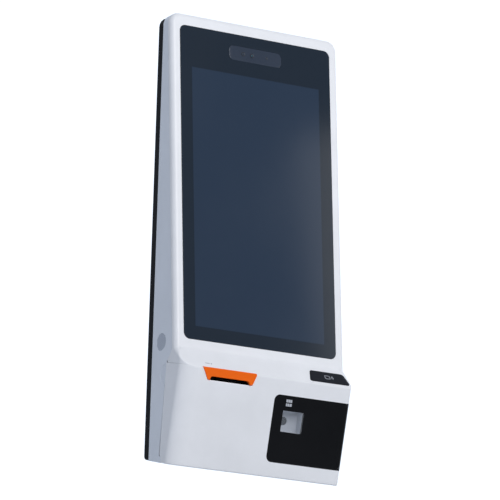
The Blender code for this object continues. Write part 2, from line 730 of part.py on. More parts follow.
def front_door():
    """Lower front cover: face, wings, rim and floor in one moulding, with hinge ears inside."""
    deep = 0.090
    outline = plan_outline(0.0, deep) + plan_outline(WALL, deep)[::-1]
    thing = prism("front_door", outline, -LOWER_RUN - 0.004, 0.004, "Z", LOWER)
    full = plan_outline(0.001, deep)
    floor = prism("door_floor", full, -LOWER_RUN - 0.002, -LOWER_RUN + WALL, "Z", LOWER, CUTTERS)
    rim = prism("door_rim", full, -0.0035, 0.002, "Z", LOWER, CUTTERS)
    keep(rim, box("rim_region", (-0.25, 0.25), (-0.01, WALL + DOOR_RIM), (-0.05, 0.05), LOWER, CUTTERS))
    join(thing, floor, rim)
    hinge = (HINGE_POINT.y, HINGE_POINT.z)
    behind = seam(-GAP / 2)[-1]
    upright = 90 + math.degrees(UNDERCUT)
    swing = arc_about(hinge, -HINGE_Z - GAP / 2, upright, upright - 6.5, 4)
    clear = arc_about(hinge, HINGE_CLEAR, 96, 230, 12)
    line = [yz(LOWER, -0.05, -GAP / 2)] + swing + [(behind[0], behind[1] - 0.004)]
    region = line + clear + [yz(LOWER, 0.033, -LOWER_RUN), yz(LOWER, -0.05, -LOWER_RUN)]
    keep(thing, prism("door_region", region, -0.25, 0.25, "X", group=CUTTERS))
    cut(thing, prism("outlet_gap", outlet_outline(GAP), -0.01, 0.03, "Y", LOWER, CUTTERS))
    cut(thing, scanner_block("panel_gap", GAP, CUTTERS))
    for side in (-1, 1):
        xs = (side * EAR_X - EAR_THICK / 2, side * EAR_X + EAR_THICK / 2)
        arm = box("ear_arm", xs, (0.020, HINGE_Y), (-LOWER_RUN + 0.001, HINGE_Z + 0.003), LOWER, CUTTERS)
        eye = rod("ear_eye", HINGE_EYE, *xs, "X", (HINGE_Y, HINGE_Z), LOWER, CUTTERS)
        join(thing, arm, eye)
        bore = rod("ear_bore", PIN_RADIUS + 0.0001, -0.25, 0.25, "X", (HINGE_Y, HINGE_Z), LOWER, CUTTERS)
        cut(thing, bore)
    cut(thing, rod("lock_hole", LOCK_RADIUS + GAP, 0.15, 0.25, "X", (LOCK_Y, LOCK_Z), LOWER, CUTTERS))
    return finish(thing, WHITE, 0.35, origin=HINGE_POINT)


def scanner_block(name, grow, group=PARTS):
    """Space of the scanner panel, grown outwards by grow: a block with two rounded left corners."""
    corners = [
        (PANEL_LEFT - grow, PANEL_BOTTOM - grow, PANEL_CORNER), (0.25, PANEL_BOTTOM - grow, 0),
        (0.25, PANEL_TOP + grow, 0), (PANEL_LEFT - grow, PANEL_TOP + grow, PANEL_CORNER),
    ]
    return prism(name, rounded(corners), -0.02, PANEL_WRAP + grow, "Y", LOWER, group)


def scanner_parts():
    """Black panel round the door's corner, its window, the lit recess and the scan engine."""
    skin = GAP
    outer = HALF - skin
    inner = HALF - WALL - GAP
    outline = rounded([
        (0.0, skin, 0), (outer, skin, DOOR_CORNER_RIGHT - skin), (outer, 0.05, 0),
        (inner, 0.05, 0), (inner, WALL + GAP, DOOR_CORNER_RIGHT - WALL - GAP), (0.0, WALL + GAP, 0),
    ])
    panel = prism("scanner_panel", outline, -0.20, 0.0, "Z", LOWER)
    keep(panel, scanner_block("panel_space", 0.0, CUTTERS))
    window = rectangle(WINDOW_LEFT, WINDOW_RIGHT, WINDOW_BOTTOM, WINDOW_TOP, 0.0015, 2)
    cut(panel, prism("window_hole", window, -0.01, 0.02, "Y", LOWER, CUTTERS))
    finish(panel, BLACK, 0.35, origin=HINGE_POINT)
    pane = rectangle(WINDOW_LEFT + GAP, WINDOW_RIGHT - GAP, WINDOW_BOTTOM + GAP, WINDOW_TOP - GAP, 0.0012, 2)
    glass = prism("scanner_window", pane, 0.0010, 0.0022, "Y", LOWER)
    finish(glass, (0.9, 0.92, 0.95), 0.05, alpha=0.2, origin=HINGE_POINT)
    start = WALL + 2 * GAP
    xs = (WINDOW_LEFT - 0.0015, WINDOW_RIGHT + 0.0015)
    zs = (WINDOW_BOTTOM - 0.0015, WINDOW_TOP + 0.0015)
    recess = box("scanner_recess", xs, (start, RECESS_DEPTH + 0.0015), zs, LOWER)
    cavity = prism("recess_cavity", window, 0.0, RECESS_DEPTH, "Y", LOWER, CUTTERS)
    hole = rod("recess_hole", SCAN_RADIUS, 0.0, 0.03, "Y", (SCAN_X, SCAN_Z), LOWER, CUTTERS)
    cut(recess, cavity, hole)
    finish(recess, (0.6, 0.62, 0.66), 0.5, origin=HINGE_POINT)
    behind = RECESS_DEPTH + 0.0015 + GAP
    engine = box("scan_engine", (SCAN_X - 0.014, SCAN_X + 0.022), (behind, behind + 0.018),
                 (SCAN_Z - 0.013, SCAN_Z + 0.013), LOWER, bevel=0.001)
    seat = rod("lens_seat", 0.0062, 0.0, behind + 0.004, "Y", (SCAN_X, SCAN_Z), LOWER, CUTTERS)
    cut(engine, seat)
    finish(engine, BLACK, 0.4, origin=HINGE_POINT)
    lens = rod("scan_lens", 0.0059, behind - 0.003, behind + 0.0037, "Y", (SCAN_X, SCAN_Z), LOWER)
    finish(lens, (0.02, 0.02, 0.03), 0.05, origin=HINGE_POINT)


def hinge_pins():
    """Two short steel pins that the door's ears turn on."""
    for side, word in ((-1, "left"), (1, "right")):
        ends = sorted((side * (EAR_X - 0.0147), side * (EAR_X + 0.0147)))
        pin = rod("hinge_pin_" + word, PIN_RADIUS, *ends, "X", (HINGE_Y, HINGE_Z), LOWER)
        finish(pin, STEEL, 0.3, 1.0)


def lock_parts():
    """Cam lock in the right-hand wing: barrel, turning plug with its cam, and the keeper it hooks behind."""
    place = (LOCK_Y, LOCK_Z)
    barrel = rod("lock_barrel", LOCK_RADIUS, 0.172, HALF - 0.0004, "X", place, LOWER)
    cut(barrel, rod("lock_bore", PLUG_RADIUS + 0.0001, 0.15, 0.25, "X", place, LOWER, CUTTERS))
    finish(barrel, (0.7, 0.71, 0.72), 0.25, 1.0, origin=HINGE_POINT)
    plug = rod("lock_plug", PLUG_RADIUS, 0.1685, HALF - 0.0008, "X", place, LOWER)
    slot = box("key_slot", (HALF - 0.006, 0.21), (LOCK_Y - 0.0007, LOCK_Y + 0.0007),
               (LOCK_Z - 0.0035, LOCK_Z + 0.0035), LOWER, CUTTERS)
    cut(plug, slot)
    axis = LOWER @ Vector((0, *place))
    finish(plug, (0.6, 0.6, 0.62), 0.3, 1.0, origin=axis)
    blade = rounded([(LOCK_Y - 0.006, LOCK_Z - 0.006, 0.004), (LOCK_Y + 0.026, LOCK_Z - 0.006, 0.003),
                     (LOCK_Y + 0.026, LOCK_Z + 0.006, 0.003), (LOCK_Y - 0.006, LOCK_Z + 0.006, 0.004)], 3)
    cam = prism("lock_cam", blade, 0.1660, 0.1682, "X", LOWER)
    finish(cam, STEEL, 0.4, 1.0, origin=axis)
    rise = (0.0020, 0.0100)
    keeper = box("lock_keeper", (0.158, 0.1760), (0.0250, 0.0268), rise, LOWER)
    leg = box("keeper_leg", (0.1742, 0.1762), (0.0251, 0.0440), (rise[0] - 0.0001, rise[1] + 0.0001), LOWER, CUTTERS)
    foot = box("keeper_foot", (0.1750, HALF - WALL - GAP), (0.0420, 0.0439), rise, LOWER, CUTTERS)
    join(keeper, leg, foot)
    finish(keeper, STEEL, 0.4, 1.0)


def paper_outlet():
    """Orange mouth piece with the slot that the receipt comes out of, open towards the door's edge."""
    thing = prism("paper_outlet", outlet_outline(0.0), -PAD_PROUD, 0.0150, "Y", LOWER)
    slot = rounded([(SLOT_LEFT, -0.04, 0), (SLOT_RIGHT, -0.04, 0), (SLOT_RIGHT - 0.003, SLOT_TOP, 0.003),
                    (SLOT_LEFT + 0.001, SLOT_TOP, 0.003)], 3)
    cut(thing, prism("paper_slot", slot, -0.01, 0.03, "Y", LOWER, CUTTERS))
    return finish(thing, ORANGE, 0.35)


def printer_frame():
    """Folded steel frame of the printer: two side plates and a back, standing on the housing floor."""
    low = -LOWER_RUN + WALL + GAP
    inner = PRINTER_HALF - PLATE_THICK
    side_view = rounded([
        (0.0165, -0.008, 0.002), (0.0165, -0.060, 0.006), (0.030, -0.145, 0.010), (0.054, -0.160, 0.004),
        (0.054, low, 0), (0.0755, low, 0), (0.0905, -0.130, 0.002), (0.0905, -0.008, 0.002),
    ], 3)
    thing = prism("printer_frame", side_view, PRINTER_X - PRINTER_HALF, PRINTER_X + PRINTER_HALF, "X", LOWER)
    room = box("printer_room", (PRINTER_X - inner, PRINTER_X + inner), (0.0, 0.0885), (-0.30, 0.02), LOWER, CUTTERS)
    cut(thing, room)
    for y, z, radius in ((PLATEN_Y, PLATEN_Z, 0.0026), (ROLL_Y, ROLL_Z, SPINDLE_RADIUS + GAP),
                         (*idler_place(), 0.0023), (*pinion_place(), 0.0045 + 0.0015)):
        cut(thing, rod("plate_hole", radius, -0.25, 0.25, "X", (y, z), LOWER, CUTTERS, 20))
    return finish(thing, STEEL, 0.45, 0.9)


def idler_place():
    """Centre of the idler gear, in mesh with the platen gear."""
    reach = GEAR_MODULE * (PLATEN_TEETH + IDLER_TEETH) / 2
    return (PLATEN_Y + reach * math.cos(IDLER_ANGLE), PLATEN_Z + reach * math.sin(IDLER_ANGLE))


def pinion_place():
    """Centre of the motor pinion, in mesh with the idler."""
    y, z = idler_place()
    reach = GEAR_MODULE * (IDLER_TEETH + PINION_TEETH) / 2
    return (y + reach * math.cos(PINION_ANGLE), z + reach * math.sin(PINION_ANGLE))


def gear(name, teeth, place, phase, group=PARTS):
    """Spur gear in the printer's gear plane: four points to a tooth, slimmed for running clearance."""
    pitch = GEAR_MODULE * teeth / 2
    tip = pitch + 0.85 * GEAR_MODULE
    root = pitch - 1.15 * GEAR_MODULE
    outline = []
    for tooth in range(teeth):
        middle = phase + 2 * math.pi * tooth / teeth
        for radius, share in ((root, -0.36), (tip, -0.13), (tip, 0.13), (root, 0.36)):
            angle = middle + share * 2 * math.pi / teeth
            outline.append((place[0] + radius * math.cos(angle), place[1] + radius * math.sin(angle)))
    return prism(name, outline, GEAR_X - GEAR_THICK / 2, GEAR_X + GEAR_THICK / 2, "X", LOWER, group)


def printer_drive():
    """Platen roller and the gears that drive it from the feed motor."""
    platen_axis = LOWER @ Vector((0, PLATEN_Y, PLATEN_Z))
    inner = PRINTER_HALF - PLATE_THICK
    roller = rod("platen_roller", PLATEN_RADIUS, PRINTER_X - 0.041, PRINTER_X + 0.041, "X", (PLATEN_Y, PLATEN_Z),
                 LOWER)
    shaft = rod("platen_shaft", 0.0022, GEAR_X + GEAR_THICK / 2 + GAP, PRINTER_X + inner + 0.004, "X",
                (PLATEN_Y, PLATEN_Z), LOWER, CUTTERS, 16)
    join(roller, shaft)
    finish(roller, (0.03, 0.03, 0.03), 0.8, origin=platen_axis)
    platen_gear = gear("platen_gear", PLATEN_TEETH, (PLATEN_Y, PLATEN_Z), IDLER_ANGLE)
    finish(platen_gear, (0.85, 0.84, 0.80), 0.5, origin=platen_axis)
    idler_centre = idler_place()
    toward_platen = IDLER_ANGLE + math.pi
    idler = gear("idler_gear", IDLER_TEETH, idler_centre, toward_platen + math.pi / IDLER_TEETH)
    stub = rod("idler_stub", 0.0020, GEAR_X, PRINTER_X - inner + 0.003, "X", idler_centre, LOWER, CUTTERS, 16)
    join(idler, stub)
    finish(idler, (0.85, 0.84, 0.80), 0.5, origin=LOWER @ Vector((0, *idler_centre)))
    pinion_centre = pinion_place()
    tooth_angle = toward_platen + math.pi / IDLER_TEETH
    pitch_angle = 2 * math.pi / IDLER_TEETH
    offset = (PINION_ANGLE - tooth_angle) / pitch_angle
    share = offset - math.floor(offset)
    phase = PINION_ANGLE + math.pi + share * 2 * math.pi / PINION_TEETH + math.pi / PINION_TEETH
    pinion = gear("motor_pinion", PINION_TEETH, pinion_centre, phase)
    shaft = rod("pinion_shaft", 0.0015, GEAR_X, PRINTER_X - inner + 0.0025, "X", pinion_centre, LOWER, CUTTERS, 12)
    join(pinion, shaft)
    finish(pinion, (0.75, 0.62, 0.30), 0.4, 1.0, origin=LOWER @ Vector((0, *pinion_centre)))
    start = PRINTER_X - inner + GAP
    motor = rod("feed_motor", 0.0095, start, start + 0.018, "X", pinion_centre, LOWER, sides=24)
    cut(motor, rod("motor_bore", 0.0019, start - 0.01, start + 0.006, "X", pinion_centre, LOWER, CUTTERS, 12))
    finish(motor, STEEL, 0.4, 1.0)


def print_head():
    """Thermal head above the platen, on its aluminium block."""
    xs = (PRINTER_X - 0.041, PRINTER_X + 0.041)
    thing = box("print_head", xs, (0.0240, 0.0340), (-0.0190, -0.0100), LOWER)
    for index in range(3):
        y = 0.0250 + index * 0.0032
        join(thing, box("head_fin", xs, (y, y + 0.0014), (-0.011, -0.005), LOWER, CUTTERS))
    return finish(thing, (0.7, 0.71, 0.72), 0.35, 1.0)


def cutter_blade():
    """Steel blade parked above the paper path, which drops across it."""
    low = PRINTER_X - 0.0445
    high = PRINTER_X + 0.0445
    outline = rounded([(low, -0.0105, 0), (PRINTER_X, -0.0125, 0), (high, -0.0105, 0), (high, 0.0, 0.001),
                       (low, 0.0, 0.001)], 2)
    thing = prism("cutter_blade", outline, 0.0175, 0.0186, "Y", LOWER)
    return finish(thing, (0.7, 0.71, 0.73), 0.2, 1.0)


def paper_parts():
    """Receipt roll on its core, and the spindle it spins round."""
    axis = LOWER @ Vector((0, ROLL_Y, ROLL_Z))
    half = ROLL_WIDTH / 2
    ends = (PRINTER_X - half, PRINTER_X + half)
    for name, outer, inner, colour in (("paper_roll", ROLL_RADIUS, CORE_OUTER + GAP, (0.9, 0.9, 0.88)),
                                       ("roll_core", CORE_OUTER, CORE_INNER, (0.42, 0.33, 0.22))):
        ring = rod(name, outer, *ends, "X", (ROLL_Y, ROLL_Z), LOWER, sides=40)
        cut(ring, rod(name + "_bore", inner, -0.25, 0.25, "X", (ROLL_Y, ROLL_Z), LOWER, CUTTERS, 40))
        finish(ring, colour, 0.8, origin=axis)
    reach = PRINTER_HALF + 0.0010
    spindle = rod("roll_spindle", SPINDLE_RADIUS, PRINTER_X - reach, PRINTER_X + reach, "X", (ROLL_Y, ROLL_Z), LOWER)
    finish(spindle, BLACK, 0.5)


def connector_parts():
    """Recessed connector panel in the floor, with its sockets and the power switch."""
    tray = box("connector_panel", (0.0290, 0.1510), (0.0540, 0.0760), (-0.1920, -0.1740), LOWER)
    cut(tray, box("tray_room", (0.0305, 0.1495), (0.0555, 0.0745), (-0.20, -0.1755), LOWER, CUTTERS))
    places = (("power_inlet", 0.0330, 0.0590, 0.0565, 0.0735, BLACK),
              ("switch_body", 0.0630, 0.0850, 0.0580, 0.0720, BLACK),
              ("lan_jack", 0.0900, 0.1060, 0.0580, 0.0720, STEEL),
              ("usb_ports", 0.1110, 0.1270, 0.0580, 0.0720, STEEL))
    for name, left, right, low, high, colour in places:
        hole = box(name + "_hole", (left - GAP, right + GAP), (low - GAP, high + GAP), (-0.19, -0.16), LOWER, CUTTERS)
        cut(tray, hole)
        body = box(name, (left, right), (low, high), (-0.1790, -0.1600), LOWER)
        wall = 0.0015
        mouth = box(name + "_mouth", (left + wall, right - wall), (low + wall, high - wall), (-0.20, -0.1680), LOWER,
                    CUTTERS)
        cut(body, mouth)
        finish(body, colour, 0.5)
    finish(tray, SIDE_WHITE, 0.5)
    axis = LOWER @ Vector((0.074, 0.065, -0.1740))
    rocker_outline = rounded([(0.0670, -0.1695, 0.001), (0.0810, -0.1695, 0.001), (0.0822, -0.1785, 0.001),
                              (0.0740, -0.1772, 0.004), (0.0655, -0.1802, 0.001)], 2)
    rocker = prism("power_rocker", rocker_outline, 0.0602, 0.0698, "Y", LOWER)
    finish(rocker, BLACK, 0.4, origin=axis)


def build():
    """Make every piece of the kiosk."""
    bezel_frame()
    housing_shell()
    back_cover()
    wall_bracket()
    hanger_rail()
    cover_glass()
    camera_parts()
    display_parts()
    main_board()
    power_supply()
    speakers()
    reader_parts()
    front_door()
    scanner_parts()
    hinge_pins()
    lock_parts()
    paper_outlet()
    printer_frame()
    printer_drive()
    print_head()
    cutter_blade()
    paper_parts()
    connector_parts()


build()
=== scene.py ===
"""Wall-mounted self-checkout kiosk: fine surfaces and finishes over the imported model.

Lengths are metres. The wall is y = 0 and the customer stands at -Y. Three tilted frames carry
the front, as in the solid model: the screen leans back, the shelf juts forward under it and the
lower face slopes back again. In each of them x runs to the customer's right, y into the body and
z up along the face.
"""
import json
import logging
import math
from dataclasses import dataclass, field
from enum import Enum

import bmesh
import bpy
import numpy as np
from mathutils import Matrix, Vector


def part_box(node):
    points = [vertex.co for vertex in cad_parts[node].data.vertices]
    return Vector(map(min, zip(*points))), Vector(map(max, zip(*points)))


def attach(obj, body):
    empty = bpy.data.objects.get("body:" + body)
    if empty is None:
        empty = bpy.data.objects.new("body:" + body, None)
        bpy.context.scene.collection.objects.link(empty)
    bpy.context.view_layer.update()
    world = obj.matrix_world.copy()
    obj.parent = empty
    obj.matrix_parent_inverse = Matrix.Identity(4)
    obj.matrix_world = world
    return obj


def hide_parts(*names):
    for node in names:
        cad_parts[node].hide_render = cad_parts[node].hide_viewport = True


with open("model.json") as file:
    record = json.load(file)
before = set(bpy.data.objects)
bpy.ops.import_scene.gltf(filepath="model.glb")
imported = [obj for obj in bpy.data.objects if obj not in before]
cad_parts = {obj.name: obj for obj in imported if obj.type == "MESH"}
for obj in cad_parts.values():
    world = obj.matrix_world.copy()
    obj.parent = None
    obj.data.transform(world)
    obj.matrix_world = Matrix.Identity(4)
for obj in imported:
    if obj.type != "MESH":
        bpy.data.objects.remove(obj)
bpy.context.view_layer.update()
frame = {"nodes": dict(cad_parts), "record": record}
LOG = logging.getLogger("kiosk")
MM = 0.001
# Points of a worked-out grid, and of a solid node, that lie closer than this become one.
GRID_WELD = 2e-6
SOLID_WELD = 1e-6
# Half the picture area's width and height, and half the soft width of its printed edge.
PICTURE_HALF = (0.1482, 0.2625)
PICTURE_SOFT = 0.0008
CLEAR_COAT_ROUGHNESS = 0.06


def linear(code: str) -> tuple[float, float, float]:
    """Turn an sRGB hex colour into linear light.

    Args:
        code: six hex digits after a hash sign.

    Returns:
        Red, green and blue in linear light, from 0 to 1.
    """
    raw = np.array([int(code[i:i + 2], 16) / 255 for i in (1, 3, 5)])
    return tuple(np.where(raw <= 0.04045, raw / 12.92, ((raw + 0.055) / 1.055) ** 2.4).tolist())


def opaque(code: str) -> tuple[float, float, float, float]:
    """An sRGB hex colour as linear light with full alpha."""
    return (*linear(code), 1.0)


def blend(first: np.ndarray, second: np.ndarray, share: np.ndarray) -> np.ndarray:
    """Straight mix: the first times what is left of the share, plus the second times the share."""
    return first * (1 - share) + second * share


def parabola(start: np.ndarray, middle: np.ndarray, end: np.ndarray, s: np.ndarray) -> np.ndarray:
    """Points of the parabola that touches both lines of a corner: quadratic in the share s."""
    return start * (1 - s) ** 2 + 2 * middle * s * (1 - s) + end * s ** 2


# ---------------------------------------------------------------------------------------------
# Frames and outlines


@dataclass(frozen=True)
class Tilt:
    """Frame in the kiosk's middle plane, turned about x.

    Attributes:
        y: its origin's distance along world y.
        z: its origin's height.
        lean: its turn about +x, in degrees.
    """

    y: float
    z: float
    lean: float

    def place(self, x: np.ndarray, y: np.ndarray, z: np.ndarray) -> np.ndarray:
        """World points of coordinates in this frame: a turn about x, then a shift."""
        turn = math.radians(self.lean)
        c, s = math.cos(turn), math.sin(turn)
        x, y, z = np.broadcast_arrays(x, y, z)
        return np.stack([x + 0.0, self.y + c * y - s * z, self.z + s * y + c * z], axis=-1)


@dataclass(frozen=True)
class Layout:
    """Leans and lengths that the three tilted frames share with the solid model."""

    screen_lean: float = -5.0
    shelf_lean: float = -37.5
    lower_lean: float = 12.4
    half: float = 0.195
    top_run: float = 0.3729
    crease_run: float = 0.3098
    shelf_run: float = 0.052
    lower_run: float = 0.193
    hinge: tuple[float, float] = (0.0413, -0.1883)
    panel_middle: float = 0.0101
    skirt_low: float = 0.3130

    def screen(self) -> Tilt:
        """Screen frame: its origin lies in front of the display panel's middle."""
        low, high = (np.array(corner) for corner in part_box("display_panel"))
        middle = Tilt(0.0, 0.0, self.screen_lean).place(0.0, self.panel_middle, 0.0)
        centre = (low + high) / 2 - middle
        return Tilt(float(centre[1]), float(centre[2]), self.screen_lean)

    def lower(self) -> Tilt:
        """Lower face's frame: found from the door hinge's axis."""
        joint = next(j for j in frame["record"]["behaviour"]["joints"] if j["name"] == "door_hinge")
        reach = Tilt(0.0, 0.0, self.lower_lean).place(0.0, *self.hinge)
        return Tilt(joint["pos_m"][1] - float(reach[1]), joint["pos_m"][2] - float(reach[2]),
                    self.lower_lean)

    def shelf(self) -> Tilt:
        """Shelf frame: at the crease under the screen."""
        crease = self.screen().place(0.0, 0.0, -self.crease_run)
        return Tilt(float(crease[1]), float(crease[2]), self.shelf_lean)


LAYOUT = Layout()
SCREEN = LAYOUT.screen()
SHELF = LAYOUT.shelf()
LOWER = LAYOUT.lower()


def arc(centre: tuple[float, float], reach: tuple[float, float], start: float, end: float,
        steps: int) -> np.ndarray:
    """Points of an ellipse's arc: centre plus reach times cosine and sine of an angle in degrees.

    Returns:
        Array of steps + 1 points.
    """
    turn = np.radians(np.linspace(start, end, steps + 1))
    return np.stack([centre[0] + reach[0] * np.cos(turn), centre[1] + reach[1] * np.sin(turn)],
                    axis=-1)


def rounded_box(left: float, right: float, low: float, high: float, radius: float, corner: int = 10,
                side: int = 24) -> np.ndarray:
    """Rectangle with round corners, anticlockwise from the lower left corner's end.

    Each corner gives corner + 1 points and each side the same number between its corners, so two
    such outlines match point by point.
    """
    r = radius
    corners = [
        arc((right - r, low + r), (r, r), 270, 360, corner),
        arc((right - r, high - r), (r, r), 0, 90, corner),
        arc((left + r, high - r), (r, r), 90, 180, corner),
        arc((left + r, low + r), (r, r), 180, 270, corner),
    ]
    return joined(corners, side)


def joined(corners: list[np.ndarray], side: int) -> np.ndarray:
    """Closed outline of corner arcs, with a number of points on the straight line before each."""
    share = np.linspace(0, 1, side + 2)[1:-1, None]
    parts = []
    for before, corner in zip(corners[-1:] + corners[:-1], corners):
        parts += [blend(before[-1], corner[0], share), corner]
    return np.concatenate(parts)


def rounded_polygon(corners: list[tuple[float, float, float]], steps: int = 8,
                    side: int = 12) -> np.ndarray:
    """Polygon whose corners (a, b, radius) are arcs, with points spread along its sides too."""
    arcs = []
    for index, (a, b, radius) in enumerate(corners):
        here = np.array([a, b])
        before = np.array(corners[index - 1][:2]) - here
        after = np.array(corners[(index + 1) % len(corners)][:2]) - here
        before, after = before / np.linalg.norm(before), after / np.linalg.norm(after)
        half = math.acos(float(np.clip(before @ after, -1, 1))) / 2
        middle = before + after
        centre = here + middle / np.linalg.norm(middle) * radius / math.sin(half)
        start, end = before * radius / math.tan(half), after * radius / math.tan(half)
        first, last = here + start - centre, here + end - centre
        sweep = math.acos(float(np.clip(first @ last / radius ** 2, -1, 1)))
        share = np.linspace(0, 1, steps + 1)[:, None]
        arcs.append(centre + (first * np.sin((1 - share) * sweep) + last * np.sin(share * sweep))
                    / math.sin(sweep))
    share = np.linspace(0, 1, side + 2)[1:-1, None]
    parts = []
    for index, piece in enumerate(arcs):
        follow = arcs[(index + 1) % len(arcs)]
        parts += [piece, blend(piece[-1], follow[0], share)]
    return np.concatenate(parts)


def inset(outline: np.ndarray, distance: float) -> np.ndarray:
    """Closed anticlockwise outline moved inwards: each point along its own mean normal."""
    ahead = np.roll(outline, -1, axis=0) - outline
    behind = outline - np.roll(outline, 1, axis=0)
    lengths = [np.maximum(np.linalg.norm(step, axis=1, keepdims=True), 1e-12) for step in (ahead,
                                                                                           behind)]
    along = ahead / lengths[0] + behind / lengths[1]
    along /= np.maximum(np.linalg.norm(along, axis=1, keepdims=True), 1e-12)
    return outline + distance * np.stack([-along[:, 1], along[:, 0]], axis=-1)


# ---------------------------------------------------------------------------------------------
# Meshes


def collection() -> bpy.types.Collection:
    """The collection that the fine pieces are linked to."""
    name = "kiosk_surfaces"
    if name not in bpy.data.collections:
        bpy.context.scene.collection.children.link(bpy.data.collections.new(name))
    return bpy.data.collections[name]


def stand(name: str, mesh: bpy.types.Mesh) -> bpy.types.Object:
    """Object of a mesh, at the origin, linked to the fine pieces' collection."""
    made = bpy.data.objects.new(name, mesh)
    collection().objects.link(made)
    return made


def grid_mesh(name: str, grid: np.ndarray, loop: bool = False,
              hide: np.ndarray | None = None) -> bpy.types.Object:
    """Surface over a grid of points: one four-sided face for each cell.

    Args:
        grid: points, shaped rows x columns x 3.
        loop: the last column joins the first.
        hide: cells to leave out, shaped as the cells are.

    Returns:
        The new object, at the origin.
    """
    rows, columns = grid.shape[:2]
    index = np.arange(rows * columns).reshape(rows, columns)
    right = np.roll(index, -1, axis=1) if loop else index[:, 1:]
    left = index if loop else index[:, :-1]
    cells = np.stack([left[:-1], right[:-1], right[1:], left[1:]], axis=-1)
    if hide is not None:
        cells = cells[~hide]
    mesh = bpy.data.meshes.new(name)
    mesh.from_pydata(grid.reshape(-1, 3), [], cells.reshape(-1, 4))
    work = bmesh.new()
    work.from_mesh(mesh)
    bmesh.ops.remove_doubles(work, verts=work.verts, dist=GRID_WELD)
    bmesh.ops.dissolve_degenerate(work, edges=work.edges, dist=SOLID_WELD)
    loose = [vert for vert in work.verts if not vert.link_faces]
    bmesh.ops.delete(work, geom=loose, context="VERTS")
    work.to_mesh(mesh)
    work.free()
    mesh.shade_smooth()
    mesh.set_sharp_from_angle(angle=math.radians(38))
    return stand(name, mesh)


def thicken(piece: bpy.types.Object, wall: float) -> bpy.types.Object:
    """Give an open skin its wall, inwards from its faces."""
    shell = piece.modifiers.new("wall", "SOLIDIFY")
    shell.thickness = wall
    shell.offset = -1.0
    return piece


def loft(name: str, outlines: list[np.ndarray], depths: list[float], tilt: Tilt,
         cap: bool = False) -> bpy.types.Object:
    """Skin over matching flat outlines, each at its own depth in a tilted frame.

    Args:
        outlines: closed outlines of (x, z) points, from the innermost to the outermost row.
        depths: y of each outline.
        cap: close the first outline with rings that shrink to its middle.
    """
    if cap:
        middle = outlines[0].mean(axis=0)
        shrunk = [middle + (outlines[0] - middle) * share for share in (0.0, 0.3, 0.6, 0.85)]
        outlines, depths = shrunk + outlines, [depths[0]] * 4 + depths
    flat = np.stack(outlines)
    deep = np.array(depths)[:, None]
    return grid_mesh(name, tilt.place(flat[..., 0], deep, flat[..., 1]), loop=True)


def turned(name: str, profile: list[tuple[float, float]], x: float, z: float, tilt: Tilt,
           steps: int = 64,
           sideways: bool = False) -> bpy.types.Object:
    """Surface of revolution: a profile of (radius, depth) carried round an axis.

    Args:
        profile: from the middle of the front outwards and then back.
        x: the axis's first flat coordinate: x, or y where the axis runs sideways.
        sideways: the axis runs along x, and depth is counted along it.
    """
    radius, depth = (np.array(column)[:, None] for column in zip(*profile))
    turn = np.linspace(0, 2 * math.pi, steps, endpoint=False)[None, :]
    a, b = x + radius * np.cos(turn), z + radius * np.sin(turn)
    deep = np.broadcast_to(depth, a.shape)
    if sideways:
        return grid_mesh(name, tilt.place(deep, a, b), loop=True)
    return grid_mesh(name, tilt.place(a, deep, b), loop=True)


def facing(piece: bpy.types.Object, inside: tuple[float, float, float]) -> bpy.types.Object:
    """Turn a piece's faces so that they look away from a point inside it, on the whole."""
    mesh = piece.data
    count = len(mesh.polygons)
    centres, normals, areas = np.empty(count * 3), np.empty(count * 3), np.empty(count)
    mesh.polygons.foreach_get("center", centres)
    mesh.polygons.foreach_get("normal", normals)
    mesh.polygons.foreach_get("area", areas)
    away = ((centres.reshape(-1, 3) - np.array(inside)) * normals.reshape(-1, 3)).sum(axis=1)
    if float((away * areas).sum()) < 0:
        mesh.flip_normals()
    return piece


def softened(node: str, width: float = 0.0006, segments: int = 2) -> bpy.types.Object:
    """Copy of a solid node with its loose triangles joined and its edges rounded."""
    source = frame["nodes"][node]
    mesh = source.data.copy()
    mesh.materials.clear()
    work = bmesh.new()
    work.from_mesh(mesh)
    bmesh.ops.remove_doubles(work, verts=work.verts, dist=SOLID_WELD)
    bmesh.ops.dissolve_limit(work, angle_limit=math.radians(1.0), verts=work.verts,
                             edges=work.edges)
    work.to_mesh(mesh)
    work.free()
    mesh.shade_smooth()
    mesh.set_sharp_from_angle(angle=math.radians(40))
    made = stand(node + "_fine", mesh)
    if width:
        edge = made.modifiers.new("edge", "BEVEL")
        edge.width = width
        edge.segments = segments
        edge.limit_method = "ANGLE"
        edge.angle_limit = math.radians(35)
        edge.miter_outer = "MITER_ARC"
        edge.use_clamp_overlap = True
    return made


# ---------------------------------------------------------------------------------------------
# Finishes


class Grain(Enum):
    """How a surface was made, which decides its texture."""

    MOULDED = "moulded"
    PAINTED = "painted"
    BRUSHED = "brushed"
    CAST = "cast"
    BOARD = "board"
    PAPER = "paper"
    PERFORATED = "perforated"
    GLOSS = "gloss"
    DISPLAY = "display"


@dataclass(frozen=True)
class Finish:
    """What a surface is and how it was made.

    Attributes:
        name: material and process.
        colour: sRGB hex.
        grain: texture family.
        roughness: base roughness.
        metallic: 1 on bare metal.
        grain_mm: size of the texture's cells, in millimetres.
        bump: height of the texture, in millimetres.
        coat: strength of a clear layer.
        specular: strength of the surface's own reflection, 0.5 on common plastic.
        alpha: below 1 on a clear piece.
        second: another colour, where the texture has two.
    """

    name: str
    colour: str
    grain: Grain = Grain.MOULDED
    roughness: float = 0.45
    metallic: float = 0.0
    grain_mm: float = 1.5
    bump: float = 0.02
    coat: float = 0.0
    specular: float = 0.5
    alpha: float = 1.0
    second: str = "#000000"


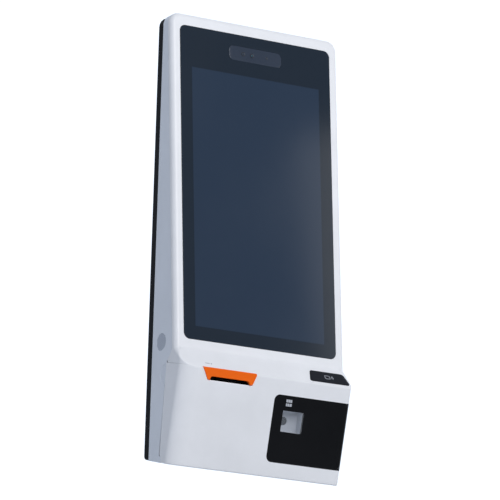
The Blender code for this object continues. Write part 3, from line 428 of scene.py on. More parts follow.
def add(tree: bpy.types.NodeTree, kind: str, settings: dict, links: dict) -> bpy.types.Node:
    """Add a node with its settings and incoming links.

    Args:
        kind: the node's type.
        settings: attribute or input socket name to its value.
        links: input socket name or number to the output socket that feeds it.

    Returns:
        The node.
    """
    node = tree.nodes.new(kind)
    for key, value in settings.items():
        if isinstance(key, str) and hasattr(node, key):
            setattr(node, key, value)
        else:
            node.inputs[key].default_value = value
    for key, source in links.items():
        tree.links.new(source, node.inputs[key])
    return node


class Workshop:
    """Makes each finish's material once and hands it out."""

    def __init__(self) -> None:
        """Start with no materials made."""
        self.made: dict[str, bpy.types.Material] = {}

    def material(self, finish: Finish) -> bpy.types.Material:
        """The finish's material, made on first use."""
        if finish.name not in self.made:
            self.made[finish.name] = self.build(finish)
        return self.made[finish.name]

    def build(self, finish: Finish) -> bpy.types.Material:
        """Make a material: shader values, then the texture that its grain asks for."""
        made = bpy.data.materials.new(finish.name)
        made.use_nodes = True
        tree = made.node_tree
        shader = tree.nodes["Principled BSDF"]
        values = {"Base Color": opaque(finish.colour), "Roughness": finish.roughness,
                  "Metallic": finish.metallic, "Coat Weight": finish.coat,
                  "Coat Roughness": CLEAR_COAT_ROUGHNESS, "Alpha": finish.alpha}
        if not finish.metallic:
            values["Specular IOR Level"] = finish.specular
        for socket, value in values.items():
            shader.inputs[socket].default_value = value
        made.diffuse_color = (*linear(finish.colour), finish.alpha)
        place = add(tree, "ShaderNodeTexCoord", {}, {}).outputs["Object"]
        textures = {Grain.DISPLAY: self.display, Grain.PERFORATED: self.perforated,
                    Grain.BOARD: self.board}
        textures.get(finish.grain, self.common)(tree, shader, place, finish)
        return made

    def common(self, tree: bpy.types.NodeTree, shader: bpy.types.Node, place: bpy.types.NodeSocket,
               finish: Finish) -> None:
        """Cells of the grain's size raise the surface, and broad patches vary its gloss and tone."""
        stretch = (1.0, 1.0, 1.0)
        if finish.grain is Grain.BRUSHED:
            stretch = (0.04, 1.0, 1.0)
        turned_place = add(tree, "ShaderNodeMapping", {"Scale": stretch},
                           {"Vector": place}).outputs[0]
        scale = 1 / (finish.grain_mm * MM)
        detail = 6.0 if finish.grain in (Grain.PAPER, Grain.CAST) else 3.0
        cells = add(tree, "ShaderNodeTexNoise",
                    {"Scale": scale, "Detail": detail, "Roughness": 0.55},
                    {"Vector": turned_place}).outputs["Fac"]
        patches = add(tree, "ShaderNodeTexNoise", {"Scale": 9.0, "Detail": 4.0, "Roughness": 0.6},
                      {"Vector": place}).outputs["Fac"]
        spread = 0.10 if finish.grain in (Grain.BRUSHED, Grain.CAST) else 0.05
        blend = add(tree, "ShaderNodeMath", {"operation": "ADD"}, {0: cells, 1: patches}).outputs[0]
        low = max(finish.roughness - spread, 0.02)
        rough = add(tree, "ShaderNodeMapRange", {"From Min": 0.7, "From Max": 1.3, "To Min": low,
                                                 "To Max": finish.roughness + spread},
                                                 {"Value": blend}).outputs[0]
        tree.links.new(rough, shader.inputs["Roughness"])
        base = linear(finish.colour)
        tone = 0.10 if finish.grain in (Grain.BRUSHED, Grain.CAST, Grain.PAPER) else 0.025
        ramp = add(tree, "ShaderNodeValToRGB", {}, {"Fac": patches})
        ramp.color_ramp.elements[0].position, ramp.color_ramp.elements[1].position = 0.35, 0.65
        ramp.color_ramp.elements[0].color = (*(c * (1 - tone) for c in base), 1.0)
        ramp.color_ramp.elements[1].color = (*(min(c * (1 + tone), 1.0) for c in base), 1.0)
        tree.links.new(ramp.outputs["Color"], shader.inputs["Base Color"])
        bump = add(tree, "ShaderNodeBump", {"Strength": 1.0, "Distance": finish.bump * MM},
                   {"Height": cells})
        tree.links.new(bump.outputs["Normal"], shader.inputs["Normal"])

    def display(self, tree: bpy.types.NodeTree, shader: bpy.types.Node, place: bpy.types.NodeSocket,
                finish: Finish) -> None:
        """Printed border, and inside it the darker blue picture area of a display that is off."""
        split = add(tree, "ShaderNodeSeparateXYZ", {}, {"Vector": place})
        across = add(tree, "ShaderNodeMath", {"operation": "ABSOLUTE"},
                     {0: split.outputs["X"]}).outputs[0]
        rise = add(tree, "ShaderNodeMath", {"operation": "ABSOLUTE"},
                   {0: split.outputs["Z"]}).outputs[0]
        masks = [add(tree, "ShaderNodeMapRange",
                     {"From Min": half - PICTURE_SOFT, "From Max": half + PICTURE_SOFT,
                                                  "To Min": 1.0, "To Max": 0.0},
                                                  {"Value": distance}).outputs[0]
                 for half, distance in zip(PICTURE_HALF, (across, rise))]
        picture = add(tree, "ShaderNodeMath", {"operation": "MULTIPLY"},
                      {0: masks[0], 1: masks[1]}).outputs[0]
        haze = add(tree, "ShaderNodeTexNoise", {"Scale": 6.0, "Detail": 3.0},
                   {"Vector": place}).outputs["Fac"]
        tint = add(tree, "ShaderNodeMix", {"data_type": "RGBA"}, {"Factor": picture})
        tint.inputs["A"].default_value = opaque(finish.colour)
        tint.inputs["B"].default_value = opaque(finish.second)
        tree.links.new(tint.outputs["Result"], shader.inputs["Base Color"])
        low, high = finish.roughness - 0.02, finish.roughness + 0.02
        rough = add(tree, "ShaderNodeMapRange",
                    {"From Min": 0.3, "From Max": 0.7, "To Min": low, "To Max": high},
                    {"Value": haze}).outputs[0]
        tree.links.new(rough, shader.inputs["Roughness"])

    def perforated(self, tree: bpy.types.NodeTree, shader: bpy.types.Node,
                   place: bpy.types.NodeSocket,
                   finish: Finish) -> None:
        """Round holes on a slanted grid: cosines of two directions, summed and cut at a level. The holes take the
        darker second colour, painted shade inside them.
        """
        pitch = 2 * math.pi / (finish.grain_mm * MM)
        split = add(tree, "ShaderNodeSeparateXYZ", {}, {"Vector": place})
        waves = []
        for lean in (60.0, -60.0, 180.0):
            turn = math.radians(lean)
            first = add(tree, "ShaderNodeMath",
                        {"operation": "MULTIPLY", 1: pitch * math.cos(turn)},
                        {0: split.outputs["Y"]}).outputs[0]
            both = add(tree, "ShaderNodeMath",
                       {"operation": "MULTIPLY_ADD", 1: pitch * math.sin(turn)},
                       {0: split.outputs["Z"], 2: first}).outputs[0]
            waves.append(add(tree, "ShaderNodeMath", {"operation": "COSINE"}, {0: both}).outputs[0])
        pair = add(tree, "ShaderNodeMath", {"operation": "ADD"},
                   {0: waves[0], 1: waves[1]}).outputs[0]
        total = add(tree, "ShaderNodeMath", {"operation": "ADD"}, {0: pair, 1: waves[2]}).outputs[0]
        hole = add(tree, "ShaderNodeMapRange", {"From Min": 0.9, "From Max": 1.5},
                   {"Value": total}).outputs[0]
        # Painted shade: the holes take the darker second colour.
        tint = add(tree, "ShaderNodeMix", {"data_type": "RGBA"}, {"Factor": hole})
        tint.inputs["A"].default_value = opaque(finish.colour)
        tint.inputs["B"].default_value = opaque(finish.second)
        tree.links.new(tint.outputs["Result"], shader.inputs["Base Color"])
        bump = add(tree, "ShaderNodeBump", {"Strength": 1.0, "Distance": -finish.bump * MM},
                   {"Height": hole})
        tree.links.new(bump.outputs["Normal"], shader.inputs["Normal"])

    def board(self, tree: bpy.types.NodeTree, shader: bpy.types.Node, place: bpy.types.NodeSocket,
              finish: Finish) -> None:
        """Solder mask over copper tracks: bands between cells of a brick pattern."""
        track = add(tree, "ShaderNodeTexBrick",
                    {"Scale": 1 / (finish.grain_mm * MM), "Mortar Size": 0.12,
                                                 "Brick Width": 3.0, "Row Height": 0.4},
                                                 {"Vector": place})
        track.inputs["Color1"].default_value = opaque(finish.colour)
        track.inputs["Color2"].default_value = (*(c * 0.8 for c in linear(finish.colour)), 1.0)
        track.inputs["Mortar"].default_value = opaque(finish.second)
        tree.links.new(track.outputs["Color"], shader.inputs["Base Color"])
        bump = add(tree, "ShaderNodeBump", {"Strength": 1.0, "Distance": finish.bump * MM},
                   {"Height": track.outputs["Fac"]})
        tree.links.new(bump.outputs["Normal"], shader.inputs["Normal"])


SHOP = Workshop()

# ABS, injection moulded in a lightly sparked tool and left satin: soft highlights on round edges.
WHITE_ABS = Finish("white_abs_satin_moulded", "#EDEEF2", roughness=0.36, grain_mm=1.2, bump=0.006)
# ABS of the front's own white, sprayed with fine-textured lacquer and duller than the front. Its colour here is a
# little darker and bluer than the front's: painted shade of the walls that face away from the key light.
SIDE_LACQUER_PAINTED_SHADE = Finish("white_lacquer_painted_side_shade", "#E2E7F0", Grain.PAINTED, 0.50, grain_mm=1.4,
                      bump=0.012)
# ABS, black, eroded tool texture: almost no highlight.
BLACK_ABS = Finish("black_abs_textured", "#0B0F16", roughness=0.6, grain_mm=1.3, bump=0.03,
                   specular=0.12)
# Toughened glass, printed black behind, bonded to the display.
COVER_GLASS = Finish("toughened_glass_printed", "#222C38", Grain.DISPLAY, 0.12, specular=0.5,
                     second="#2C3A4D")
# Smoked acrylic that hides the camera board and lets infrared light through.
SMOKED_ACRYLIC = Finish("smoked_acrylic_polished", "#343D4C", Grain.GLOSS, 0.16, grain_mm=4.0,
                        bump=0.001)
# Ground and coated camera glass: near black with a blue-green sheen.
LENS_GLASS = Finish("coated_lens_glass", "#101A22", Grain.GLOSS, 0.05, grain_mm=4.0, bump=0.0005,
                    coat=1.0,
                    specular=0.8)
# Camera glass: its blue-green base colour is a painted sheen, the reflection of its anti-reflection layers put
# into the colour.
CAMERA_GLASS_PAINTED_SHEEN = Finish("camera_glass_painted_teal_sheen", "#2F7F82", Grain.GLOSS, 0.08, grain_mm=4.0,
                      bump=0.0005, coat=1.0)
# Anodised ring of the camera barrel.
LENS_RING = Finish("black_anodised_ring", "#2A2F36", Grain.CAST, 0.35, metallic=0.6, grain_mm=1.0,
                   bump=0.002)
# Polycarbonate with a satin black moulding, the scanner's surround.
SCANNER_BLACK = Finish("black_polycarbonate_satin", "#0C0D10", roughness=0.22, grain_mm=1.2,
                       bump=0.004, specular=0.28)
# Polycarbonate hard-coated and polished, black all through, over the antenna.
PAD_BLACK = Finish("black_polycarbonate_gloss", "#0C0F18", Grain.GLOSS, 0.22, grain_mm=3.0,
                   bump=0.001, specular=0.22)
# ABS in signal orange, moulded with a fine satin grain.
ORANGE_ABS = Finish("orange_abs_satin", "#FB6A05", roughness=0.42, grain_mm=1.2, bump=0.008,
                    specular=0.25)
# Pale grey ABS that scatters the scanner's own light evenly.
RECESS_GREY = Finish("pale_grey_abs_matt", "#B4B9C3", roughness=0.5, grain_mm=1.0, bump=0.006)
# Clear acrylic pane with a hard coat.
CLEAR_PANE = Finish("clear_acrylic_pane", "#E8EEF4", Grain.GLOSS, 0.06, grain_mm=5.0, bump=0.0005,
                    alpha=0.10)
# Dark infrared filter over the scan engine's optics.
SCAN_FILTER = Finish("dark_filter_glass", "#3A3F48", Grain.GLOSS, 0.35, grain_mm=4.0, bump=0.0005,
                     specular=0.3)
# Moulded grille: holes of 1.2 mm drawn at twice their pitch so that they show, in a darker second colour that is
# painted shade inside the holes.
GRILLE_ABS_PAINTED_HOLE_SHADE = Finish("grey_abs_perforated_painted_hole_shade", "#C0C7D4", Grain.PERFORATED, 0.5, grain_mm=3.4,
                    bump=0.15,
                    second="#717886")
# Pad-printed ink.
PRINT_INK = Finish("pale_grey_printed_ink", "#B4B8C0", roughness=0.6, grain_mm=0.8, bump=0.004)
# Darker ink of the small arrow by the paper outlet.
DARK_INK = Finish("mid_grey_printed_ink", "#70757E", roughness=0.6, grain_mm=0.8, bump=0.004)
# Deep black moulding behind the outlet, which light hardly reaches: black plastic, drawn darker than the black ABS
# and without reflection, as painted shade.
THROAT_BLACK_PAINTED_SHADE = Finish("black_abs_throat_painted_shade", "#030304", roughness=0.8, grain_mm=1.0, bump=0.01,
                      specular=0.0)
# Sheet steel, zinc plated and passivated: soft lengthwise streaks.
ZINC_STEEL = Finish("zinc_plated_steel_sheet", "#A9ACB1", Grain.BRUSHED, 0.38, metallic=1.0,
                    grain_mm=1.2, bump=0.004)
# Hardened steel, ground.
BLADE_STEEL = Finish("ground_blade_steel", "#C4C7CB", Grain.BRUSHED, 0.22, metallic=1.0,
                     grain_mm=0.8, bump=0.002)
# Aluminium, die cast and tumbled.
CAST_ALU = Finish("die_cast_aluminium", "#B3B6BA", Grain.CAST, 0.45, metallic=1.0, grain_mm=1.5,
                  bump=0.02)
# Zinc alloy lock parts, nickel-chrome plated.
LOCK_CHROME = Finish("chrome_plated_zinc", "#C8CACD", Grain.CAST, 0.16, metallic=1.0, grain_mm=3.0,
                     bump=0.001)
# Brass pinion, hobbed.
BRASS = Finish("hobbed_brass", "#C9A65A", Grain.BRUSHED, 0.3, metallic=1.0, grain_mm=0.6,
               bump=0.003)
# Acetal gears, moulded, natural colour.
ACETAL = Finish("natural_acetal_moulded", "#D8D4C8", roughness=0.42, grain_mm=1.0, bump=0.004)
# Nitrile rubber, ground true on the shaft.
RUBBER = Finish("ground_nitrile_rubber", "#1A1A1B", Grain.CAST, 0.75, grain_mm=0.7, bump=0.02,
                specular=0.3)
# Thermal receipt paper wound in a roll: fine layers at the ends, smooth round the outside.
PAPER = Finish("thermal_paper_roll", "#E9E8E3", Grain.PAPER, 0.7, grain_mm=0.8, bump=0.01)
# Spiral-wound card.
CARD = Finish("wound_card_core", "#9A7B55", Grain.PAPER, 0.85, grain_mm=1.0, bump=0.05)
# Glass-epoxy circuit board under green solder mask.
BOARD_GREEN = Finish("fr4_green_solder_mask", "#12532F", Grain.BOARD, 0.4, grain_mm=2.5, bump=0.02,
                     second="#2A7A4B")
# Pale grey ABS, moulded, for the connector panel.
GREY_ABS = Finish("mid_grey_abs_moulded", "#9BA1AB", roughness=0.5, grain_mm=1.2, bump=0.01)


def dress(piece: bpy.types.Object, finish: Finish) -> bpy.types.Object:
    """Give a piece its finish as its only material."""
    piece.data.materials.clear()
    piece.data.materials.append(SHOP.material(finish))
    return piece


def fit(piece: bpy.types.Object, finish: Finish, body: str, slot: str,
        *nodes: str) -> bpy.types.Object:
    """Dress a piece, ride it on its body and let it stand for solid nodes."""
    dress(piece, finish)
    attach(piece, body)
    if nodes:
        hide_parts(*nodes)
    LOG.info("%s: %d faces on %s", piece.name, len(piece.data.polygons), body)
    return piece


# ---------------------------------------------------------------------------------------------
# Front


@dataclass
class Front:
    """White front: the frame round the display with its shelf, and the lower door.

    Both come from one edge: a round band between the shelf and the walls, parted a little above
    the crease along the front and at the parting plane along the sides.
    """

    opening: tuple[float, float, float] = (0.1753, -0.2913, 0.3478)
    opening_radius: float = 0.0133
    top_radius: float = 0.022
    edge: float = 0.010
    lip: float = 0.004
    turn_edge: float = 0.0034
    skirt: float = 0.0118
    bend: float = 0.004
    corner_left: tuple[float, float] = (0.038, 0.020)
    corner_right: float = 0.010
    wing: float = 0.0638
    lean_in: float = 40.1
    gap: float = 0.0001
    notch: tuple[float, float, float, float, float] = (-0.1488, -0.1366, -0.0343, -0.0276, -0.0217)
    across_rows: int = 40
    side_bend: float = 0.0398
    knee: tuple[float, float] = (-0.0818, -0.3270)
    opening_round: float = 0.0006
    seat: float = 0.004
    foot: float = 0.003
    panel_sink: float = 0.0005
    hinge_clear: float = 0.0091

    def spine(self, run: np.ndarray) -> tuple[np.ndarray, np.ndarray]:
        """Middle-plane point and slope of the front at a run up from the screen's middle.

        Above the crease it is the screen's line and below it the shelf's. Within the bend it is
        the parabola that touches both lines.

        Returns:
            World (y, z) points, and the share of the way through the bend: 0 on the shelf and 1 on
            the screen.
        """
        down = run + LAYOUT.crease_run
        share = np.clip((down + self.bend) / (2 * self.bend), 0, 1)
        upper = SCREEN.place(0.0, 0.0, run)[..., 1:]
        lower = SHELF.place(0.0, 0.0, down)[..., 1:]
        start = SHELF.place(0.0, 0.0, -self.bend)[1:]
        middle = SHELF.place(0.0, 0.0, 0.0)[1:]
        end = SCREEN.place(0.0, 0.0, -LAYOUT.crease_run + self.bend)[1:]
        s = share[..., None]
        curve = parabola(start, middle, end, s)
        inside = (np.abs(down) < self.bend)[..., None]
        point = np.where(inside, curve, np.where(down[..., None] > 0, upper, lower))
        return point, share

    def face(self, across: np.ndarray, run: np.ndarray) -> np.ndarray:
        """World points of the front's own surface."""
        point, _ = self.spine(run)
        return np.concatenate([across[..., None], point], axis=-1)

    def plan(self, corner: int = 26) -> tuple[np.ndarray, np.ndarray, np.ndarray]:
        """Plan of the lower front, from the right side round the front to the left side.

        Returns:
            Points (x, y), inward normals, and the band's radius at each point.
        """
        half, (ax, ay), r = LAYOUT.half, self.corner_left, self.corner_right
        side_y = self.side_bend - self.bend * math.cos(math.radians(self.lean_in))
        right = np.stack([np.full(9, half), np.linspace(side_y, r, 9)], axis=-1)[:-1]
        turn_r = np.radians(np.linspace(0, -90, 15))
        arc_r = np.stack([half - r + r * np.cos(turn_r), r + r * np.sin(turn_r)], axis=-1)
        columns = np.concatenate([np.linspace(half - r, -half + ax, 90)[1:-1],
                                  np.array(self.notch[:4])])
        columns = np.sort(columns)[::-1]
        front = np.stack([columns, np.zeros_like(columns)], axis=-1)
        turn_l = np.radians(np.linspace(270, 180, corner))
        arc_l = np.stack([-half + ax + ax * np.cos(turn_l), ay + ay * np.sin(turn_l)], axis=-1)
        left = np.stack([np.full(9, -half), np.linspace(ay, side_y, 9)], axis=-1)[1:]
        points = np.concatenate([right, arc_r, front, arc_l, left])
        norm_r = -np.stack([np.cos(turn_r), np.sin(turn_r)], axis=-1)
        norm_l = -np.stack([np.cos(turn_l) / ax, np.sin(turn_l) / ay], axis=-1)
        norm_l /= np.linalg.norm(norm_l, axis=-1, keepdims=True)
        normals = np.concatenate([np.tile([-1.0, 0.0], (len(right), 1)), norm_r,
                                  np.tile([0.0, 1.0], (len(front), 1)), norm_l,
                                  np.tile([1.0, 0.0], (len(left), 1))])
        wide, thin = self.edge, self.lip
        flanks = (np.linspace(wide, self.turn_edge, len(right)),
                  np.linspace(self.turn_edge, thin, len(arc_r)),
                  np.full(len(front), thin), np.linspace(thin, self.turn_edge, len(arc_l)),
                  np.linspace(self.turn_edge, wide, len(left)))
        radius = np.concatenate(flanks)
        return points, normals, radius

    def split(self, above: bool, arc_rows: int = 9, tail_rows: int = 4) -> np.ndarray:
        """Round band's part above or below the joint, with the wall that follows it.

        Across each column the band is a circle's arc that touches the wall and the shelf's slope:
        its height is the slope's, less the tangent's length, plus the radius times the sine of
        the arc's angle. The joint cuts the arc where that height is the joint's.

        Returns:
            Lower-frame points, shaped arc rows + tail rows x columns x 3, from the top down.
        """
        points, normals, radius = self.plan()
        slope = math.tan(math.radians(self.lean_in))
        rise = np.arctan(slope * normals[:, 1])
        tangent = radius * np.tan((math.pi / 2 - rise) / 2)
        base = slope * points[:, 1] - tangent
        crest = math.pi / 2 - rise
        top = base + radius * np.sin(crest)
        level = np.where(normals[:, 1] > 0.999, top,
                         np.clip(normals[:, 1], 0, 1) ** 2 * np.minimum(top, 0.0012))
        cut = np.minimum(np.arcsin(np.clip((level - base) / radius, 0, 1)), crest)
        share = np.linspace(0, 1, arc_rows)[:, None]
        turn = crest + (cut - crest) * share if above else cut * (1 - share)
        reach = radius * (1 - np.cos(turn))
        height = base + radius * np.sin(turn)
        if not above:
            height = np.minimum(height, level)
        end = level if above else np.minimum(height[-1], level) - self.seat
        tail = height[-1] + (np.minimum(end, height[-1]) - height[-1]) * np.linspace(0, 1,
                                                                                     tail_rows
                                                                                     + 1)[1:, None]
        if above:
            height[-1] = np.maximum(height[-1], level)
        height = np.concatenate([height, tail])
        reach = np.concatenate([reach, np.tile(reach[-1], (tail_rows, 1))])
        return np.stack([points[:, 0] + normals[:, 0] * reach, points[:, 1] + normals[:, 1] * reach,
                         height], axis=-1)

    def side_wall(self, x: float, run: np.ndarray, rows: np.ndarray) -> np.ndarray:
        """Side of the frame round the crease: directions swing from straight back to straight down.

        Args:
            x: the side's place.
            run: outline points, from the shelf up to the screen.
            rows: shares of the way to the joint, past the round edge.

        Returns:
            World points, shaped edge rows + rows x points x 3.
        """
        point, share = self.spine(run)
        down = LOWER.place(0.0, 0.0, -1.0)[1:] - LOWER.place(0.0, 0.0, 0.0)[1:]
        back = SCREEN.place(0.0, 1.0, 0.0)[1:] - SCREEN.place(0.0, 0.0, 0.0)[1:]
        turn_down, turn_back = math.atan2(down[1], down[0]), math.atan2(back[1], back[0])
        turn = turn_down + (turn_back - turn_down) * share
        way = np.stack([np.cos(turn), np.sin(turn)], axis=-1)
        length = self.reach(point, way)
        bow = np.radians(np.linspace(0, 90, 9))[:, None]
        out = self.edge * (1 - np.sin(bow)) * np.ones_like(run)
        deep = self.edge * (1 - np.cos(bow)) * np.ones_like(run)
        far = self.edge + (length - self.edge)[None, :] * rows[:, None]
        deep = np.concatenate([deep, far])
        out = np.concatenate([out, np.zeros_like(far)])
        flat = point[None] + way[None] * deep[..., None]
        return np.concatenate([(x - math.copysign(1, x) * out)[..., None], flat], axis=-1)

    def reach(self, point: np.ndarray, way: np.ndarray) -> np.ndarray:
        """Distance from side-view points along their ways to the frame's rear and lower joint."""
        corner = LOWER.place(0.0, self.wing, self.gap)[1:]
        seam = [SCREEN.place(0.0, self.skirt, 0.40)[1:],
                SCREEN.place(0.0, self.skirt, -LAYOUT.skirt_low)[1:],
                np.array(self.knee), corner, LOWER.place(0.0, 0.0, self.gap)[1:]]
        best = np.full(len(point), 1.0)
        for start, end in zip(seam, seam[1:]):
            edge = end - start
            cross = way[:, 0] * edge[1] - way[:, 1] * edge[0]
            safe = np.where(np.abs(cross) < 1e-9, 1e-9, cross)
            offset = start - point
            along = (offset[:, 0] * edge[1] - offset[:, 1] * edge[0]) / safe
            share = (offset[:, 0] * way[:, 1] - offset[:, 1] * way[:, 0]) / safe
            hit = (share > -0.001) & (share < 1.001) & (along > 0.001)
            best = np.where(hit, np.minimum(best, along), best)
        return best

    def outer_columns(self) -> tuple[np.ndarray, np.ndarray, np.ndarray]:
        """All columns of the frame, once round from the right side's shelf end.

        Returns:
            Outer edge of the flat front (across, run), the edge and wall points beyond it, and
            the matching points of the display opening.
        """
        rows = np.linspace(0, 1, 5)[1:]
        half, top, r = LAYOUT.half, LAYOUT.top_run, self.top_radius
        lower_run = -LAYOUT.crease_run - LAYOUT.shelf_run
        shelf = self.split(above=True)
        first = shelf[0]
        flat_shelf = np.stack([first[:, 0],
                               lower_run + first[:, 1] / math.cos(math.radians(self.lean_in))],
                               axis=-1)
        shelf_world = LOWER.place(shelf[..., 0], shelf[..., 1], shelf[..., 2])
        bend_run = -LAYOUT.crease_run + np.linspace(-self.bend, self.bend, 13)
        side_run = np.linspace(-LAYOUT.crease_run + self.bend, top - r, 70)[1:]
        up = np.concatenate([bend_run, side_run])
        corner = np.radians(np.linspace(0, 90, 19))[1:]
        edge = self.edge

        def beyond(points: np.ndarray, normals: np.ndarray) -> np.ndarray:
            """Round edge and skirt of the screen's part, straight back from its outline."""
            bow = np.radians(np.linspace(0, 90, 9))[:, None]
            out = np.concatenate([edge * (1 - np.sin(bow)), np.zeros((4, 1))])
            deep = np.concatenate([edge * (1 - np.cos(bow)),
                                   (edge + (self.skirt - edge) * rows)[:, None]])
            x = points[:, 0] - normals[:, 0] * out
            z = points[:, 1] - normals[:, 1] * out
            return SCREEN.place(x, deep * np.ones_like(x), z)

        left_side = self.side_wall(-half, up[::-1], rows)
        right_side = self.side_wall(half, up, rows)
        tr_n = np.stack([np.cos(corner), np.sin(corner)], axis=-1)
        tr = np.array([half - r, top - r]) + r * tr_n
        top_x = np.linspace(half - r, -half + r, 70)[1:]
        tops = np.stack([top_x, np.full_like(top_x, top)], axis=-1)
        top_n = np.tile([0.0, 1.0], (len(tops), 1))
        tl_n = np.stack([-np.sin(corner), np.cos(corner)], axis=-1)
        tl = np.array([-half + r, top - r]) + r * tl_n
        flats, walls = [flat_shelf], [shelf_world]
        flats.append(np.stack([np.full_like(up, -half + edge), up], axis=-1)[1:])
        walls.append(left_side[:, ::-1][:, 1:])
        for points, normals in ((tl[::-1], tl_n[::-1]), (tops[::-1], top_n),
                                (tr[::-1], tr_n[::-1])):
            flats.append(points - edge * normals)
            walls.append(beyond(points, normals))
        flats.append(np.stack([np.full_like(up, half - edge), up], axis=-1)[::-1][:-1])
        walls.append(right_side[:, ::-1][:, :-1])
        flat = np.concatenate(flats)
        return flat, np.concatenate(walls, axis=1), self.opening_points(flat)

    def opening_points(self, flat: np.ndarray) -> np.ndarray:
        """Point of the display opening for each outer column: the side or corner that faces it."""
        half, low, high = self.opening
        r = self.opening_radius
        outer_half = LAYOUT.half - self.edge
        top = LAYOUT.top_run - self.top_radius
        x, z = flat[:, 0], flat[:, 1]
        opened = np.empty_like(flat)
        bottom = z < -LAYOUT.crease_run + self.bend + 1e-6
        outer = np.array([outer_half * 0.93, -LAYOUT.crease_run - LAYOUT.shelf_run])
        inner_x = np.clip(x / outer[0], -1, 1) * (half - r)
        rise = np.clip((z - outer[1]) / (self.bend - LAYOUT.crease_run - outer[1]), 0, 1)
        over = np.clip((np.abs(x) / outer[0] - 0.92) / 0.08, 0, 1)
        swing = np.radians(90 * np.clip(0.5 * rise + 0.5 * over * rise, 0, 1))
        corner_x = np.sign(x) * (half - r + r * np.sin(swing))
        corner_z = low + r - r * np.cos(swing)
        in_corner = bottom & (np.abs(x) > outer[0] * 0.92)
        opened[:, 0] = np.where(in_corner, corner_x, inner_x)
        opened[:, 1] = np.where(in_corner, corner_z, low)
        side = ~bottom & (z <= top + 1e-6)
        share = np.clip((z + LAYOUT.crease_run - self.bend) / (top + LAYOUT.crease_run - self.bend),
                        0, 1)
        opened[side, 0] = np.sign(x[side]) * half
        opened[side, 1] = (low + r + share * (high - low - 2 * r))[side]
        above = ~bottom & ~side
        centre = np.array([LAYOUT.half - self.top_radius, top])
        turn = np.arctan2(np.maximum(z - centre[1], 0), np.maximum(np.abs(x) - centre[0], 0) + 1e-9)
        arc_x = np.sign(x) * (half - r + r * np.cos(turn))
        arc_z = high - r + r * np.sin(turn)
        flat_top = above & (np.abs(x) <= centre[0])
        opened[above, 0] = arc_x[above]
        opened[above, 1] = arc_z[above]
        opened[flat_top, 0] = (x / centre[0] * (half - r))[flat_top]
        opened[flat_top, 1] = high
        return opened

    def frame_skin(self) -> bpy.types.Object:
        """Frame round the display: straight lines from the opening to the outer edge, then over it.

        The rows run from inside the opening, over its small round edge, across the bent front and
        round the outer edge to the joint.
        """
        flat, walls, opened = self.outer_columns()
        share = np.linspace(0, 1, self.across_rows)[:, None, None]
        small = self.opening_round
        towards = flat - opened
        towards /= np.maximum(np.linalg.norm(towards, axis=-1, keepdims=True), 1e-9)
        start = opened + small * towards
        across = blend(start, flat, share)
        front = self.face(across[..., 0], across[..., 1])
        bow = np.radians(np.linspace(90, 18, 5))
        lips = []
        for turn in bow:
            edge = opened + small * (1 - math.sin(turn)) * towards
            lips.append(SCREEN.place(edge[:, 0], small * (1 - math.cos(turn)), edge[:, 1]))
        deep = SCREEN.place(opened[:, 0], 0.004, opened[:, 1])
        grid = np.concatenate([deep[None], np.stack(lips), front, walls[1:]])
        piece = grid_mesh("bezel_skin", grid, loop=True)
        return thicken(facing(piece, (0.0, -0.03, 0.0)), 0.0022)

    def door_skin(self) -> bpy.types.Object:
        """Lower door: the band's lower part, the wall down to the round bottom edge, and the floor."""
        plan, normals, _ = self.plan()
        upper = self.split(above=False, arc_rows=8)
        wing_y = np.linspace(self.wing, plan[0, 1], 9)[:-1]
        right = np.stack([np.full(8, LAYOUT.half), wing_y], axis=-1)
        left = np.stack([np.full(8, -LAYOUT.half), wing_y[::-1]], axis=-1)
        points = np.concatenate([right, plan, left])
        inward = np.concatenate([np.tile([-1.0, 0.0], (8, 1)), normals,
                                 np.tile([1.0, 0.0], (8, 1))])
        seat = np.linspace(-self.gap, -self.seat, 12)[:, None]
        flank = [np.stack([np.broadcast_to(side[:, 0], (12, 8)),
                           np.broadcast_to(side[:, 1], (12, 8)),
                           np.broadcast_to(seat, (12, 8))], axis=-1) for side in (right, left)]
        head = np.concatenate([flank[0], upper, flank[1]], axis=1)
        low = -LAYOUT.lower_run
        edge = self.foot
        levels = np.linspace(0, 1, 60)[1:, None]
        wall_z = blend(head[-1, :, 2], low + edge, levels)
        wall = np.stack([np.broadcast_to(points[:, 0], wall_z.shape),
                         np.broadcast_to(points[:, 1], wall_z.shape),
                         wall_z], axis=-1)
        bow = np.radians(np.linspace(0, 90, 7))[1:, None]
        reach, drop = edge * (1 - np.cos(bow)), edge * np.sin(bow)
        foot = np.stack([points[:, 0] + inward[:, 0] * reach, points[:, 1] + inward[:, 1] * reach,
                         np.broadcast_to(low + edge - drop, (6, len(points)))], axis=-1)
        grid = np.concatenate([head, wall, foot])
        grid = self.cut_notch(self.pull_wings(grid))
        # The right side sinks under the scanner panel, whose sheet lies flush with it.
        under = (grid[..., 0] > 0.1885) & (grid[..., 1] < 0.0225) & (grid[...,
                                                                          2] < -0.0320) & (grid[...,
                                                                                                2] > -0.1620)
        grid[..., 0] -= self.panel_sink * under
        inner = grid[-1] * 1.0
        inner[:, 0] *= 0.55
        inner[:, 1] = np.maximum(inner[:, 1], 0.032)
        floor = [blend(grid[-1], inner, s) for s in (0.4, 0.75, 1.0)]
        grid = np.concatenate([grid, np.stack(floor)])
        middle = (grid[:-1, :-1] + grid[1:, 1:]) / 2
        # Behind the panel the door is open for the scan engine.
        hole = ((middle[..., 0] > 0.0265) & (middle[..., 2] < -0.0370) & (middle[..., 2] > -0.1570)
                & (middle[..., 1] < 0.0215))
        piece = grid_mesh("door_skin", LOWER.place(grid[..., 0], grid[..., 1], grid[..., 2]),
                          hide=hole)
        return thicken(facing(piece, (0.0, -0.06, -0.44)), 0.0024)

